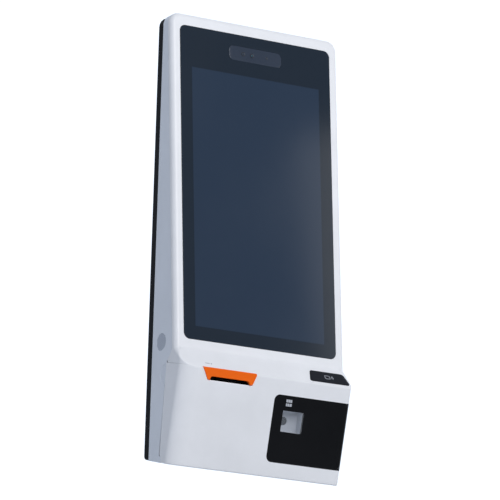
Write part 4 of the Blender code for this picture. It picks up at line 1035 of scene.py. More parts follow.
    def pull_wings(self, grid: np.ndarray) -> np.ndarray:
        """Move the side wings' rear ends to the joint with the housing, which slants towards the hinge."""
        y, z = grid[..., 1], grid[..., 2]
        hinge_y, hinge_z = LAYOUT.hinge
        line = self.wing + (hinge_y - 0.0016 - self.wing) * np.clip(-z / (-hinge_z - 0.009), 0, 1)
        clear = self.hinge_clear
        below = np.clip(clear ** 2 - (z - hinge_z) ** 2, 0, None)
        round_hinge = hinge_y - np.sqrt(below)
        rear = np.where(np.abs(z - hinge_z) < clear, np.minimum(line, round_hinge), line)
        turn = self.corner_left[1]
        start = np.where(grid[..., 0] > 0, self.corner_right, turn)
        share = np.clip((y - start) / (self.wing - start), 0, 1)
        moved = np.where(y > start, start + share * (rear - start), y)
        return np.stack([grid[..., 0], moved, z], axis=-1)

    def cut_notch(self, grid: np.ndarray) -> np.ndarray:
        """Lower the front's upper rows to the paper outlet's slanted notch."""
        a, b, c, d, low = self.notch
        x = grid[..., 0]
        level = np.interp(x, [a, b, c, d], [0.002, low, low, 0.002], left=1.0, right=1.0)
        lowered = grid[..., 2] > level
        y = np.where(lowered, np.minimum(grid[..., 1], 0.0), grid[..., 1])
        return np.stack([x, y, np.minimum(grid[..., 2], level)], axis=-1)

    def build(self) -> None:
        """Make both skins."""
        fit(self.frame_skin(), WHITE_ABS, "kiosk", "front_plastic", "bezel_frame")
        fit(self.door_skin(), WHITE_ABS, "door", "front_plastic", "front_door")


# ---------------------------------------------------------------------------------------------
# Housing


@dataclass
class Housing:
    """Side, top and bottom walls behind the front, with the speaker holes and finger dishes."""

    wall: float = 0.0026
    radius: float = 0.022
    rear: float = -0.0163
    skirt: float = 0.0122
    speaker: tuple[float, float, float] = (-0.0506, -0.2932, 0.0180)
    dish: tuple[float, float, float, float] = (-0.0705, -0.3590, 0.0210, 0.0018)
    knee: tuple[float, float] = (-0.0813, -0.3270)
    bar: float = 0.0086
    top_rear: float = 0.3460
    connectors: tuple[float, float, float, float] = (0.0287, 0.1513, 0.0537, 0.0763)
    pin_x: float = 0.155

    def side_front(self, height: np.ndarray) -> np.ndarray:
        """Front edge of the side wall as world (y, z): the joint with the frame and the door.

        Args:
            height: world heights of the joint's points.
        """
        hinge = LOWER.place(0.0, *LAYOUT.hinge)[1:]
        top = SCREEN.place(0.0, self.skirt, LAYOUT.top_run)[1:]
        bend = SCREEN.place(0.0, self.skirt, -LAYOUT.skirt_low)[1:]
        corner = LOWER.place(0.0, 0.0640, 0.0)[1:]
        turn = np.radians(np.linspace(96, 225, 14))
        nose = hinge + self.bar * np.stack([np.cos(turn), np.sin(turn)], axis=-1)
        line = np.concatenate([[top, bend, self.knee, corner], nose])[::-1]
        return np.interp(height, line[:, 1], line[:, 0])

    def skin(self) -> bpy.types.Object:
        """One band round the sides and the top: rows from the front joint back to the rear tray."""
        base = LOWER.place(0.0, 0.06, -LAYOUT.lower_run)
        rise = np.concatenate([np.linspace(-0.5335, -0.42, 60), np.linspace(-0.42, -0.25, 90)[1:],
                               np.linspace(-0.25, 0.3480, 90)[1:]])
        front = np.stack([self.side_front(rise), rise], axis=-1)
        slope = math.tan(math.radians(LAYOUT.lower_lean))
        floor = base[2] + (front[:, 0] - base[1]) * slope
        front[:, 1] = np.maximum(front[:, 1], floor)
        low_rear = base[2] + (self.rear - base[1]) * slope
        share = (rise - rise[0]) / (rise[-1] - rise[0])
        rear = np.stack([np.full_like(rise, self.rear),
                         low_rear + (self.top_rear - low_rear) * share], axis=-1)
        left = self.side_rows(-LAYOUT.half, front, rear)
        right = self.side_rows(LAYOUT.half, front, rear)[:, ::-1]
        top = self.top_rows()
        grid = np.concatenate([left, top, right], axis=1)
        middle = (grid[:-1, :-1] + grid[1:, 1:]) / 2
        y, z, r = self.speaker
        hole = (middle[..., 1] - y) ** 2 + (middle[..., 2] - z) ** 2 < (r - 0.0010) ** 2
        hole &= np.abs(middle[..., 0]) > 0.18
        piece = grid_mesh("housing_skin", grid, hide=hole)
        return thicken(facing(piece, (0.0, -0.04, 0.0)), self.wall)

    def side_rows(self, x: float, front: np.ndarray, rear: np.ndarray,
                  rows: int = 46) -> np.ndarray:
        """Side wall between its front and rear edges, with the dish pressed in and the edges rounded."""
        share = np.linspace(0, 1, rows)[:, None, None]
        flat = blend(front[None], rear[None], share)
        y, z, radius, deep = self.dish
        away = np.hypot(flat[..., 0] - y, flat[..., 1] - z)
        press = deep * np.clip((radius - away) / 0.0016, 0, 1)
        ends = np.minimum(share[..., 0], 1 - share[..., 0]) * 0.06
        edge = 0.0006 * np.clip(1 - ends / 0.0012, 0, 1) ** 2
        across = x - math.copysign(1, x) * (press + edge)
        return np.concatenate([across[..., None], flat], axis=-1)

    def top_rows(self, rows: int = 46) -> np.ndarray:
        """Both upper corners and the top wall, square to the screen."""
        half, top, r = LAYOUT.half, LAYOUT.top_run, self.radius
        left = arc((-half + r, top - r), (r, r), 180, 90, 18)
        right = arc((half - r, top - r), (r, r), 90, 0, 18)
        middle = np.stack([np.linspace(-half + r, half - r, 60)[1:-1], np.full(58, top)], axis=-1)
        outline = np.concatenate([left, middle, right])
        reach = (self.rear - SCREEN.place(0.0, 0.0, outline[:, 1])[:,
                                                                   1]) / math.cos(math.radians(LAYOUT.screen_lean))
        share = np.linspace(0, 1, rows)[:, None]
        deep = blend(self.skirt, reach[None], share)
        return SCREEN.place(outline[:, 0] * np.ones_like(deep), deep,
                            outline[:, 1] * np.ones_like(deep))

    def floor(self) -> bpy.types.Object:
        """Bottom wall with the connector opening: straight lines from the opening to the outline."""
        low = -LAYOUT.lower_run
        rear = (self.rear - LOWER.place(0.0, 0.0,
                                        low)[1]) / math.cos(math.radians(LAYOUT.lower_lean))
        outer = rounded_box(-LAYOUT.half + 0.0002, LAYOUT.half - 0.0002, 0.0462, float(rear),
                            0.0012)
        inner = rounded_box(*self.connectors, 0.0008)
        rows = [inner] + [blend(inner, outer, s) for s in (0.004, 0.5, 0.996)] + [outer]
        levels = [low + self.wall, low + 0.0001, low, low, low + 0.0006]
        grid = np.stack([LOWER.place(row[:, 0], row[:, 1], level) for row,
                         level in zip(rows, levels)])
        piece = grid_mesh("housing_floor_skin", grid, loop=True)
        return thicken(facing(piece, (0.0, -0.04, -0.3)), self.wall)

    def nose(self) -> bpy.types.Object:
        """Rounded bar that the door turns round: an arc about the hinge axis, carried across."""
        across = np.concatenate([np.linspace(-0.1944, -0.1590, 8), np.linspace(-0.1509, 0.1509, 12),
                                 np.linspace(0.1590, 0.1944, 8)])
        turn = np.radians(np.linspace(75, 235, 30))
        y = LAYOUT.hinge[0] + self.bar * np.cos(turn)[:, None]
        z = LAYOUT.hinge[1] + self.bar * np.sin(turn)[:, None]
        z = np.maximum(z, -LAYOUT.lower_run + 0.0003)
        grid = LOWER.place(across[None, :] * np.ones_like(y), y * np.ones_like(across),
                           z * np.ones_like(across))
        middle = (across[:-1] + across[1:]) / 2
        notch = np.broadcast_to(np.abs(np.abs(middle) - self.pin_x) < 0.0039, (29, len(middle)))
        piece = grid_mesh("hinge_bar_skin", grid, hide=notch)
        return thicken(facing(piece, tuple(LOWER.place(0.0, *LAYOUT.hinge))), 0.0012)

    def build(self) -> None:
        """Make the housing's skins and its rear tray."""
        # The housing's walls, floor and hinge bar take the white with painted side shade.
        fit(self.skin(), SIDE_LACQUER_PAINTED_SHADE, "kiosk", "housing_paint", "housing_shell")
        fit(self.floor(), SIDE_LACQUER_PAINTED_SHADE, "kiosk", "housing_paint")
        fit(self.nose(), SIDE_LACQUER_PAINTED_SHADE, "kiosk", "housing_paint")
        fit(softened("back_cover", 0.0012, 3), BLACK_ABS, "kiosk", "black_plastic", "back_cover")
        fit(softened("wall_bracket", 0.0005), ZINC_STEEL, "kiosk", "zinc_steel", "wall_bracket")
        fit(softened("hanger_rail", 0.0004), ZINC_STEEL, "kiosk", "zinc_steel", "hanger_rail")
        self.grilles()

    def grilles(self) -> None:
        """Dished discs in the side walls; their holes are drawn by the finish in a darker colour, painted shade.
        """
        y, z, r = self.speaker
        outer = r + 0.0006
        for side, word in ((-1, "left"), (1, "right")):
            face = side * (LAYOUT.half - 0.0002)
            steps = [(0.0, -0.0005), (outer * 0.5, -0.0004), (outer * 0.93, -0.0001),
                     (outer, -0.0001),
                     (outer, -0.0020)]
            profile = [(radius, face + side * deep) for radius, deep in steps]
            piece = turned("grille_disc_" + word, profile, y, z, Tilt(0.0, 0.0, 0.0), 72,
                           sideways=True)
            facing(piece, (0.0, y, z))
            fit(piece, GRILLE_ABS_PAINTED_HOLE_SHADE, "kiosk", "grille_plastic", "speaker_grille_" + word)


# ---------------------------------------------------------------------------------------------
# Display


@dataclass
class Display:
    """Cover glass with the printed border, and the camera window at its top."""

    half: float = 0.1750
    low: float = -0.2910
    high: float = 0.3475
    radius: float = 0.013
    camera_z: float = 0.3090
    camera_half: float = 0.0610
    camera_rise: float = 0.0150
    camera_radius: float = 0.0105
    lens_x: float = -0.0081
    sensor_x: float = -0.0285
    lamp_x: float = 0.0264

    def window_outline(self, grow: float = 0.0) -> np.ndarray:
        """Outline of the camera window, matched to the glass's outline point by point."""
        return rounded_box(-self.camera_half - grow, self.camera_half + grow,
                           self.camera_z - self.camera_rise - grow,
                           self.camera_z + self.camera_rise + grow, self.camera_radius + grow)

    def glass(self) -> bpy.types.Object:
        """Glass from the camera window out to its ground edge, with a small round arris."""
        outer = rounded_box(-self.half, self.half, self.low, self.high, self.radius)
        inner = self.window_outline(0.0002)
        arris = 0.0005
        turns = np.radians([0, 30, 60, 90])
        rows = [inner, inner] + [blend(inner, inset(outer, arris), s) for s in (0.02, 0.3, 0.65)]
        rows.append(inset(outer, arris + 0.0003))
        deep = [0.0040, 0.0002, 0.0001, 0.0001, 0.0001, 0.0001]
        rows += [inset(outer, arris * (1 - math.sin(t))) for t in turns]
        deep += [0.0001 + arris * (1 - math.cos(t)) for t in turns]
        return loft("glass_sheet", rows + [outer], deep + [0.0040], SCREEN)

    def window(self) -> bpy.types.Object:
        """Smoked camera window, a hair below the glass."""
        outline = self.window_outline()
        rows = [inset(outline, 0.0006), inset(outline, 0.0003), outline, outline]
        return loft("camera_window_pane", rows, [0.00025, 0.00028, 0.0005, 0.0040], SCREEN,
                    cap=True)

    def lens(self, name: str, x: float, radius: float) -> tuple[bpy.types.Object, bpy.types.Object]:
        """Camera or sensor: a stepped barrel ring and the domed glass inside it.

        The dome is a shallow parabola: depth grows with the square of the radius.
        """
        ring = [(radius * 0.62, 0.0009), (radius * 0.66, 0.0003), (radius * 0.84, 0.00005),
                (radius, 0.00005), (radius * 1.02, 0.0004)]
        share = np.linspace(0, 1, 9)
        dome = [(float(radius * 0.64 * s), float(0.0002 + 0.0006 * s * s)) for s in share]
        made = (turned(name + "_ring", ring, x, self.camera_z, SCREEN, 48),
                turned(name + "_dome", dome, x, self.camera_z, SCREEN, 48))
        for piece in made:
            facing(piece, tuple(SCREEN.place(x, 0.02, self.camera_z)))
        return made

    def build(self) -> None:
        """Make the glass, the camera window and what shows through it."""
        inside = (0.0, 0.05, 0.0)
        fit(facing(self.glass(), inside), COVER_GLASS, "kiosk", "display_glass", "cover_glass")
        fit(facing(self.window(), inside), SMOKED_ACRYLIC, "kiosk", "display_glass",
            "camera_window")
        for name, node, x, radius, slot in (("camera", "camera_lens", self.lens_x, 0.0046,
                                             "lens_glass"),
                                            ("sensor", "light_sensor", self.sensor_x, 0.0044,
                                             "lens_glass"),
                                            ("lamp", "status_lamp", self.lamp_x, 0.0026,
                                             "lamp_window")):
            ring, dome = self.lens(name, x, radius)
            fit(ring, LENS_RING, "kiosk", slot, node)
            # The camera's dome carries a painted blue-green sheen in its colour.
            fit(dome, CAMERA_GLASS_PAINTED_SHEEN if name == "camera" else LENS_GLASS, "kiosk", slot)


# ---------------------------------------------------------------------------------------------
# Scanner


@dataclass
class Scanner:
    """Black panel round the door's right corner, its window, the recess and the scan optics."""

    left: float = 0.0195
    top: float = -0.0306
    bottom: float = -0.1633
    corner: float = 0.012
    wrap: float = 0.0240
    proud: float = 0.0003
    turn: float = 0.010
    window: tuple[float, float, float, float] = (0.0430, 0.0918, -0.1020, -0.0605)
    depth: float = 0.0208
    eye: tuple[float, float, float] = (0.0590, -0.0812, 0.0085)

    def bent(self, along: np.ndarray, deep: np.ndarray, z: np.ndarray) -> np.ndarray:
        """Points of the sheet bent round the door's corner: flat, then an arc, then the side.

        Args:
            along: length along the sheet, equal to x on its flat front.
            deep: depth under the sheet's face.
        """
        radius = self.turn
        start = LAYOUT.half - self.turn
        sweep = np.clip((along - start) / radius, 0, math.pi / 2)
        past = np.maximum(along - start - radius * math.pi / 2, 0)
        x = np.where(along < start, along, start + (radius - deep) * np.sin(sweep))
        y = np.where(along < start, -self.proud + deep,
                     radius - self.proud - (radius - deep) * np.cos(sweep) + past)
        return LOWER.place(x, y, z)

    def panel(self) -> bpy.types.Object:
        """Panel from its window's edge to its outer edge, on the bent sheet."""
        start = LAYOUT.half - self.turn
        right = start + self.turn * math.pi / 2 + self.wrap - self.turn
        r = self.corner
        low, high = self.bottom, self.top
        side, corner = 84, 10
        outer_corners = [arc((right - 0.0005, low + 0.0005), (0.0005, 0.0005), 270, 360, corner),
                         arc((right - 0.0005, high - 0.0005), (0.0005, 0.0005), 0, 90, corner),
                         arc((self.left + r, high - r), (r, r), 90, 180, corner),
                         arc((self.left + r, low + r), (r, r), 180, 270, corner)]
        outer = joined(outer_corners, side)
        inner = rounded_box(*self.window, 0.0016, corner, side)
        edge = 0.0005
        rows, deep = [inner, inner, inset(inner, -0.0003)], [0.0062, 0.0004, 0.0]
        face = inset(outer, edge)
        base = inset(inner, -0.0003)
        for step in np.linspace(0, 1, 34)[1:-1]:
            rows.append(blend(base, face, step))
            deep.append(0.0)
        for bow in np.radians([0, 30, 60, 90]):
            rows.append(inset(outer, edge * (1 - math.sin(bow))))
            deep.append(edge * (1 - math.cos(bow)))
        rows.append(outer)
        deep.append(0.0024)
        flat = np.stack(rows)
        grid = self.bent(flat[..., 0], np.array(deep)[:, None] * np.ones_like(flat[..., 0]),
                         flat[..., 1])
        return facing(grid_mesh("scanner_panel_skin", grid, loop=True), (0.10, -0.05, -0.44))

    def recess(self) -> bpy.types.Object:
        """Lit recess: walls drawn in a little towards a floor with a round-edged eye hole."""
        mouth = rounded_box(self.window[0] + 0.0003, self.window[1] - 0.0003,
                            self.window[2] + 0.0003,
                            self.window[3] - 0.0003, 0.0016)
        x, z, r = self.eye
        middle = np.array([x, z])
        towards = mouth - middle
        eye = middle + r * towards / np.linalg.norm(towards, axis=1, keepdims=True)
        rows, deep = [mouth], [0.0058]
        for share in np.linspace(0, 1, 8)[1:]:
            rows.append(inset(mouth, 0.0009 * share))
            deep.append(0.0058 + (self.depth - 0.0078) * share)
        base = inset(mouth, 0.0009)
        for bow in np.radians([30, 60, 90]):
            rows.append(inset(base, 0.0015 * (1 - math.cos(bow))))
            deep.append(self.depth - 0.0015 + 0.0015 * math.sin(bow))
        flat = inset(base, 0.0015)
        for share in (0.3, 0.6, 0.9, 1.0):
            rows.append(blend(flat, middle + (eye - middle) * 1.05, share))
            deep.append(self.depth)
        rows += [eye, eye]
        deep += [self.depth + 0.0005, self.depth + 0.0040]
        return loft("recess_walls", rows, deep, LOWER)

    def build(self) -> None:
        """Make the panel, window, recess, optics and the printed sign."""
        fit(self.panel(), SCANNER_BLACK, "door", "black_panel", "scanner_panel")
        recess = self.recess()
        inside = LOWER.place((self.window[0] + self.window[1]) / 2, 0.004,
                             (self.window[2] + self.window[3]) / 2)
        facing(recess, tuple(inside))
        recess.data.flip_normals()
        fit(thicken(recess, 0.0010), RECESS_GREY, "door", "recess_plastic", "scanner_recess")
        pane = rounded_box(self.window[0] + 0.0003, self.window[1] - 0.0003,
                           self.window[2] + 0.0003,
                           self.window[3] - 0.0003, 0.0014)
        glass = loft("window_pane", [inset(pane, 0.0003), pane, pane, inset(pane, 0.0003)],
                     [0.0008, 0.0010, 0.0018, 0.0020], LOWER, cap=True)
        fit(facing(glass, tuple(LOWER.place(0.067, 0.05, -0.08))), CLEAR_PANE, "door",
            "clear_window",
            "scanner_window")
        x, z, r = self.eye
        share = np.linspace(0, 1, 12)
        dome = [(float(r * 0.98 * s), float(self.depth + 0.0004 + 0.0002 * s * s)) for s in share]
        lens = turned("scan_filter", dome, x, z, LOWER, 64)
        fit(facing(lens, tuple(LOWER.place(x, 0.05, z))), SCAN_FILTER, "door", "lens_glass",
            "scan_lens")
        fit(softened("scan_engine", 0.0005), BLACK_ABS, "door", "module_plastic", "scan_engine")
        self.sign()

    def sign(self) -> None:
        """Plain sign above the window: two rows of three printed blocks."""
        ink = self.proud + 0.00012
        left, high = 0.0470, -0.0383
        strips = [(left + shift, left + shift + 0.0040, high - 0.0056, high) for shift in (0.0,
                                                                                           0.0046,
                                                                                           0.0092)]
        strips += [(left + shift, left + shift + wide, high - 0.0134, high - 0.0078)
                   for shift, wide in ((0.0, 0.0026), (0.0034, 0.0040), (0.0082, 0.0050))]
        corners = np.array([[(a, c), (b, c), (b, d), (a, d)] for a, b, c, d in strips])
        points = LOWER.place(corners[..., 0], -ink, corners[..., 1]).reshape(-1, 3)
        mesh = bpy.data.meshes.new("scan_sign")
        mesh.from_pydata(points, [], np.arange(len(points)).reshape(-1, 4))
        piece = facing(stand("scan_sign", mesh), (0.05, 0.0, -0.4))
        fit(piece, PRINT_INK, "door", "black_panel")


# ---------------------------------------------------------------------------------------------
# Small pieces on the front


@dataclass
class Fittings:
    """Paper outlet and contactless pad, with their printed signs."""

    outlet: tuple[float, float, float, float, float, float] = (-0.1363, -0.0346, -0.0262, -0.1500,
                                                               -0.0214, 0.0026)
    slot: tuple[float, float, float] = (-0.1310, -0.0405, -0.0142)
    proud: float = 0.0012

    def outlet_piece(self) -> bpy.types.Object:
        """Orange mouth piece: its face runs round the slot, whose lower side is open.

        Columns run along the slot's edge and match columns along the outer edge. Rows go from
        deep in the slot over its round lip, across the face, round the outer edge and back.
        """
        ll, lr, tr, tl, low, high = self.outlet
        s_left, s_right, s_top = self.slot
        slot = self.open_path([(s_left - 0.0006, low, 0.0), (s_left, low, 0.0002),
                               (s_left + 0.0012, s_top, 0.0045),
                               (s_right - 0.0035, s_top, 0.0045), (s_right, low, 0.0002),
                               (s_right + 0.0006, low, 0.0)])
        outer = self.open_path([(ll + 0.0035, low, 0.0), (ll, low, 0.0020), (tl, high, 0.0014),
                                (tr, high, 0.0055),
                                (lr, low, 0.0050), (lr - 0.0056, low, 0.0)])
        towards = outer - slot
        towards /= np.linalg.norm(towards, axis=1, keepdims=True)
        rows, deep = [slot, slot], [0.0140, 0.0002]
        lip = 0.0009
        for bow in np.radians([30, 60, 90]):
            rows.append(slot + lip * (1 - math.cos(bow)) * towards)
            deep.append(-self.proud + lip * (1 - math.sin(bow)))
        face_in, face_out = slot + lip * towards, outer - lip * towards
        for share in np.linspace(0, 1, 10)[1:]:
            rows.append(blend(face_in, face_out, share))
            deep.append(-self.proud)
        for bow in np.radians([30, 60, 90]):
            rows.append(outer - lip * (1 - math.sin(bow)) * towards)
            deep.append(-self.proud + lip * (1 - math.cos(bow)))
        rows.append(outer)
        deep.append(0.0120)
        flat = np.stack(rows)
        grid = LOWER.place(flat[..., 0], np.array(deep)[:, None], flat[..., 1])
        piece = facing(grid_mesh("outlet_mouth", grid), tuple(LOWER.place(-0.089, 0.02, -0.004)))
        return thicken(piece, 0.0008)

    def open_path(self, corners: list[tuple[float, float, float]], count: int = 30) -> np.ndarray:
        """Open path over corners (a, b, radius), each a parabola where its radius isn't zero."""
        path = []
        for index, (a, b, radius) in enumerate(corners):
            here = np.array([a, b])
            if radius == 0:
                path.append(here[None])
                continue
            before = np.array(corners[index - 1][:2]) - here
            after = np.array(corners[index + 1][:2]) - here
            before, after = before / np.linalg.norm(before), after / np.linalg.norm(after)
            share = np.linspace(0, 1, 9)[:, None]
            start, end = here + before * radius, here + after * radius
            path.append(parabola(start, here, end, share))
        share = np.linspace(0, 1, count)[1:-1, None]
        full = [path[0]]
        for first, second in zip(path, path[1:]):
            full += [blend(first[-1], second[0], share), second]
        return np.concatenate(full)

    def throat(self) -> bpy.types.Object:
        """Throat behind the slot, black with painted shade: a funnel that narrows towards the platen."""
        s_left, s_right, s_top = self.slot
        rows = [rounded_box(s_left + 0.0004 + step, s_right - 0.0004 - step, -0.0224 + step,
                            s_top + 0.0002 - step,
                            0.0003, 6, 20) for step in (0.0, 0.0006, 0.0022, 0.0036, 0.0037)]
        return loft("slot_throat", rows, [0.0012, 0.0040, 0.0080, 0.0130, 0.0166], LOWER)

    def pad(self) -> bpy.types.Object:
        """Reader pad: a trapezium with a round arris, standing a little proud of the shelf."""
        outline = self.pad_outline()
        edge = 0.0011
        turns = np.radians([0, 22, 45, 68, 90])
        rows = [inset(outline, edge * (1 - math.sin(t))) for t in turns] + [outline]
        deep = [-self.proud + edge * (1 - math.cos(t)) for t in turns] + [0.0012]
        return loft("reader_pad", rows, deep, SHELF, cap=True)

    def pad_outline(self) -> np.ndarray:
        """Trapezium with its four corner radii."""
        return rounded_polygon([(0.0975, -0.0456, 0.004), (0.1915, -0.0456, 0.005),
                                (0.1840, -0.0148, 0.008),
                                (0.1070, -0.0148, 0.006)])

    def ribbons(self, name: str, paths: list[np.ndarray], width: float, lift: float,
                tilt: Tilt) -> bpy.types.Object:
        """Flat printed strokes: each path widened by half the width to both sides."""
        faces, points, count = [], [], 0
        for path in paths:
            along = np.gradient(path, axis=0)
            along /= np.linalg.norm(along, axis=1, keepdims=True)
            side = np.stack([-along[:, 1], along[:, 0]], axis=-1) * width / 2
            rail = np.stack([path - side, path + side], axis=1)
            size = len(path)
            index = count + np.arange(size * 2).reshape(size, 2)
            faces.append(np.stack([index[:-1, 0], index[1:, 0], index[1:, 1], index[:-1, 1]],
                                  axis=-1))
            points.append(tilt.place(rail[..., 0], -lift, rail[..., 1]).reshape(-1, 3))
            count += size * 2
        mesh = bpy.data.meshes.new(name)
        mesh.from_pydata(np.concatenate(points), [], np.concatenate(faces))
        return facing(stand(name, mesh), tuple(tilt.place(0.0, 0.05, 0.0)))

    def build(self) -> None:
        """Make the outlet, the pad and their printed signs."""
        fit(self.outlet_piece(), ORANGE_ABS, "kiosk", "orange_plastic", "paper_outlet")
        throat = facing(self.throat(), tuple(LOWER.place(-0.089, 0.008, -0.018)))
        throat.data.flip_normals()
        # The throat is black plastic with painted shade: near black and without reflection.
        fit(thicken(throat, 0.0005), THROAT_BLACK_PAINTED_SHADE, "kiosk", "black_plastic")
        pad = facing(self.pad(), tuple(SHELF.place(0.145, 0.02, -0.03)))
        fit(pad, PAD_BLACK, "kiosk", "black_panel", "nfc_pad")
        card = rounded_box(0.1370, 0.1480, -0.0345, -0.0262, 0.0015, 4, 4)
        strokes = [np.concatenate([card, card[:1]])]
        strokes += [arc((0.1500, -0.03035), (r, r), -48, 48, 12) for r in (0.0030, 0.0055)]
        lift = self.proud + 0.0001
        fit(self.ribbons("pad_sign", strokes, 0.0011, lift, SHELF), PRINT_INK, "kiosk",
            "black_panel")
        y = -0.0373
        arrow = [np.array([[-0.1400, y], [-0.1300, y]]),
                 np.array([[-0.1268, y + 0.0012], [-0.1250, y],
                                                                  [-0.1268, y - 0.0012]])]
        fit(self.ribbons("outlet_sign", arrow, 0.0011, 0.0001, SHELF), DARK_INK, "kiosk",
            "front_plastic")


# ---------------------------------------------------------------------------------------------
# Inside


@dataclass(frozen=True)
class Inner:
    """Solid node that keeps its shape and gets round edges and a finish."""

    node: str
    body: str
    slot: str
    finish: Finish
    edge: float = 0.0004


@dataclass
class Works:
    """Printer, lock, boards, connectors and the rest behind the covers."""

    pieces: list[Inner] = field(default_factory=lambda: [
        Inner("printer_frame", "kiosk", "zinc_steel", ZINC_STEEL, 0.0004),
        Inner("print_head", "kiosk", "cast_aluminium", CAST_ALU, 0.0003),
        Inner("feed_motor", "kiosk", "zinc_steel", ZINC_STEEL, 0.0005),
        Inner("roll_spindle", "kiosk", "black_plastic", BLACK_ABS, 0.0006),
        Inner("platen_roller", "platen", "platen_rubber", RUBBER, 0.0003),
        Inner("platen_gear", "platen", "gear_plastic", ACETAL, 0.0002),
        Inner("idler_gear", "idler", "gear_plastic", ACETAL, 0.0002),
        Inner("motor_pinion", "pinion", "brass_pinion", BRASS, 0.0001),
        Inner("cutter_blade", "blade", "blade_steel", BLADE_STEEL, 0.0002),
        Inner("paper_roll", "roll", "receipt_paper", PAPER, 0.0003),
        Inner("roll_core", "roll", "core_card", CARD, 0.0003),
        Inner("lock_barrel", "door", "chrome_lock", LOCK_CHROME, 0.0005),
        Inner("lock_plug", "lock", "chrome_lock", LOCK_CHROME, 0.0003),
        Inner("lock_cam", "lock", "zinc_steel", ZINC_STEEL, 0.0003),
        Inner("lock_keeper", "kiosk", "zinc_steel", ZINC_STEEL, 0.0003),
        Inner("hinge_pin_left", "kiosk", "zinc_steel", ZINC_STEEL, 0.0003),
        Inner("hinge_pin_right", "kiosk", "zinc_steel", ZINC_STEEL, 0.0003),
        Inner("connector_panel", "kiosk", "grey_plastic", GREY_ABS, 0.0004),
        Inner("power_inlet", "kiosk", "black_plastic", BLACK_ABS, 0.0004),
        Inner("switch_body", "kiosk", "black_plastic", BLACK_ABS, 0.0003),
        Inner("power_rocker", "rocker", "black_plastic", BLACK_ABS, 0.0003),
        Inner("lan_jack", "kiosk", "zinc_steel", ZINC_STEEL, 0.0003),
        Inner("usb_ports", "kiosk", "zinc_steel", ZINC_STEEL, 0.0003),
        Inner("display_panel", "kiosk", "display_film", BLACK_ABS, 0.0),
        Inner("display_frame", "kiosk", "zinc_steel", ZINC_STEEL, 0.0003),
        Inner("main_board", "kiosk", "circuit_board", BOARD_GREEN, 0.0002),
        Inner("camera_board", "kiosk", "circuit_board", BOARD_GREEN, 0.0002),
        Inner("nfc_antenna", "kiosk", "circuit_board", BOARD_GREEN, 0.0002),
        Inner("heat_sink", "kiosk", "cast_aluminium", CAST_ALU, 0.0003),
        Inner("power_supply", "kiosk", "zinc_steel", ZINC_STEEL, 0.0),
        Inner("speaker_left", "kiosk", "black_plastic", BLACK_ABS, 0.0005),
        Inner("speaker_right", "kiosk", "black_plastic", BLACK_ABS, 0.0005),
    ])

    def build(self) -> None:
        """Round the edges of every inner piece and dress it."""
        for inner in self.pieces:
            fit(softened(inner.node, inner.edge), inner.finish, inner.body, inner.slot, inner.node)


# ---------------------------------------------------------------------------------------------
# Studio


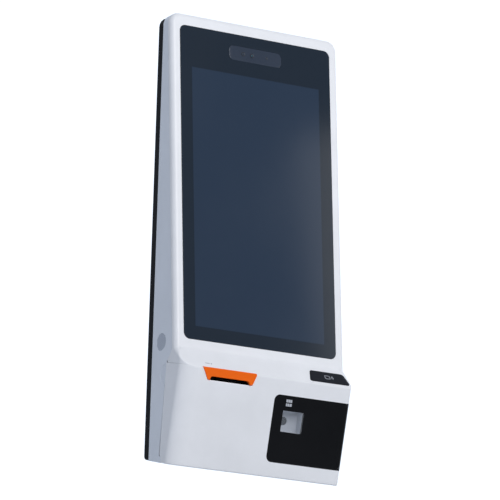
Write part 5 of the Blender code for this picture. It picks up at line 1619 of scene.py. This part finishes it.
@dataclass(frozen=True)
class Studio:
    """Camera, floor and soft lights."""

    eye: tuple[float, float, float] = (-4.4706, -7.2654, -1.8736)
    turn: tuple[float, float, float] = (101.9061, -1.7037, -32.1433)
    lens: float = 317.8
    floor_z: float = -6.0
    floor_size: float = 40.0

    def camera(self) -> None:
        """Long lens from below and to the left, rolled a little."""
        data = bpy.data.cameras.new("camera")
        data.lens = self.lens
        data.sensor_width = 36.0
        data.clip_end = 60.0
        made = bpy.data.objects.new("camera", data)
        made.location = self.eye
        made.rotation_euler = tuple(math.radians(angle) for angle in self.turn)
        bpy.context.scene.collection.objects.link(made)
        bpy.context.scene.camera = made

    def light(self, name: str, place: tuple[float, float, float], aim: tuple[float, float, float],
              size: float,
              watts: float, tint: str = "#FFFFFF") -> None:
        """Square soft light at a place, aimed at a point."""
        data = bpy.data.lights.new(name, "AREA")
        data.size = size
        data.energy = watts
        data.color = linear(tint)
        made = bpy.data.objects.new(name, data)
        made.location = place
        made.rotation_euler = (Vector(aim) - Vector(place)).to_track_quat("-Z", "Y").to_euler()
        bpy.context.scene.collection.objects.link(made)

    def build(self) -> None:
        """Set up the studio."""
        self.camera()
        bpy.ops.mesh.primitive_plane_add(size=self.floor_size, location=(0.0, 0.0, self.floor_z))
        floor = bpy.context.active_object
        floor.name = "floor"
        paint = bpy.data.materials.new("pale_floor")
        paint.use_nodes = True
        shader = paint.node_tree.nodes["Principled BSDF"]
        shader.inputs["Base Color"].default_value = opaque("#F4F4F4")
        shader.inputs["Roughness"].default_value = 0.9
        floor.data.materials.append(paint)
        bpy.context.scene.view_settings.view_transform = "Standard"
        self.sky()
        self.light("key", (0.2, -3.6, 1.4), (0.0, 0.0, -0.1), 2.4, 88.0)
        self.light("side_card", (1.75, -1.35, 0.35), (0.0, 0.0, 0.0), 1.3, 6.0)
        self.light("cool_fill", (-3.0, -1.2, 0.4), (0.0, 0.0, -0.1), 1.6, 3.0, "#B8CCFA")

    def sky(self) -> None:
        """Even surroundings, bright behind the object and dim where its glass looks."""
        world = bpy.data.worlds.new("studio")
        world.use_nodes = True
        tree = world.node_tree
        place = add(tree, "ShaderNodeTexCoord", {}, {}).outputs["Generated"]
        levels = []
        for way, edges, ends in (((0.53, 0.83, 0.18), (0.45, 0.85), (0.45, 1.30)),
                                 ((0.53, -0.84, 0.10), (0.60, 0.90), (0.0, -0.33))):
            nearness = add(tree, "ShaderNodeVectorMath", {"operation": "DOT_PRODUCT"}, {0: place})
            nearness.inputs[1].default_value = way
            levels.append(add(tree, "ShaderNodeMapRange",
                              {"From Min": edges[0], "From Max": edges[1],
                                                           "To Min": ends[0], "To Max": ends[1]},
                              {"Value": nearness.outputs["Value"]}).outputs[0])
        level = add(tree, "ShaderNodeMath", {"operation": "ADD"},
                    {0: levels[0], 1: levels[1]}).outputs[0]
        tree.nodes["Background"].inputs["Color"].default_value = opaque("#EBF3FF")
        tree.links.new(level, tree.nodes["Background"].inputs["Strength"])
        bpy.context.scene.world = world


def main() -> None:
    """Build every sub-assembly, then the studio, and note the sizes."""
    logging.basicConfig(level=logging.INFO, format="%(message)s")
    for part in (Front(), Housing(), Display(), Scanner(), Fittings(), Works()):
        LOG.info("building %s", type(part).__name__)
        part.build()
    Studio().build()


if __name__ == "__main__":
    main()
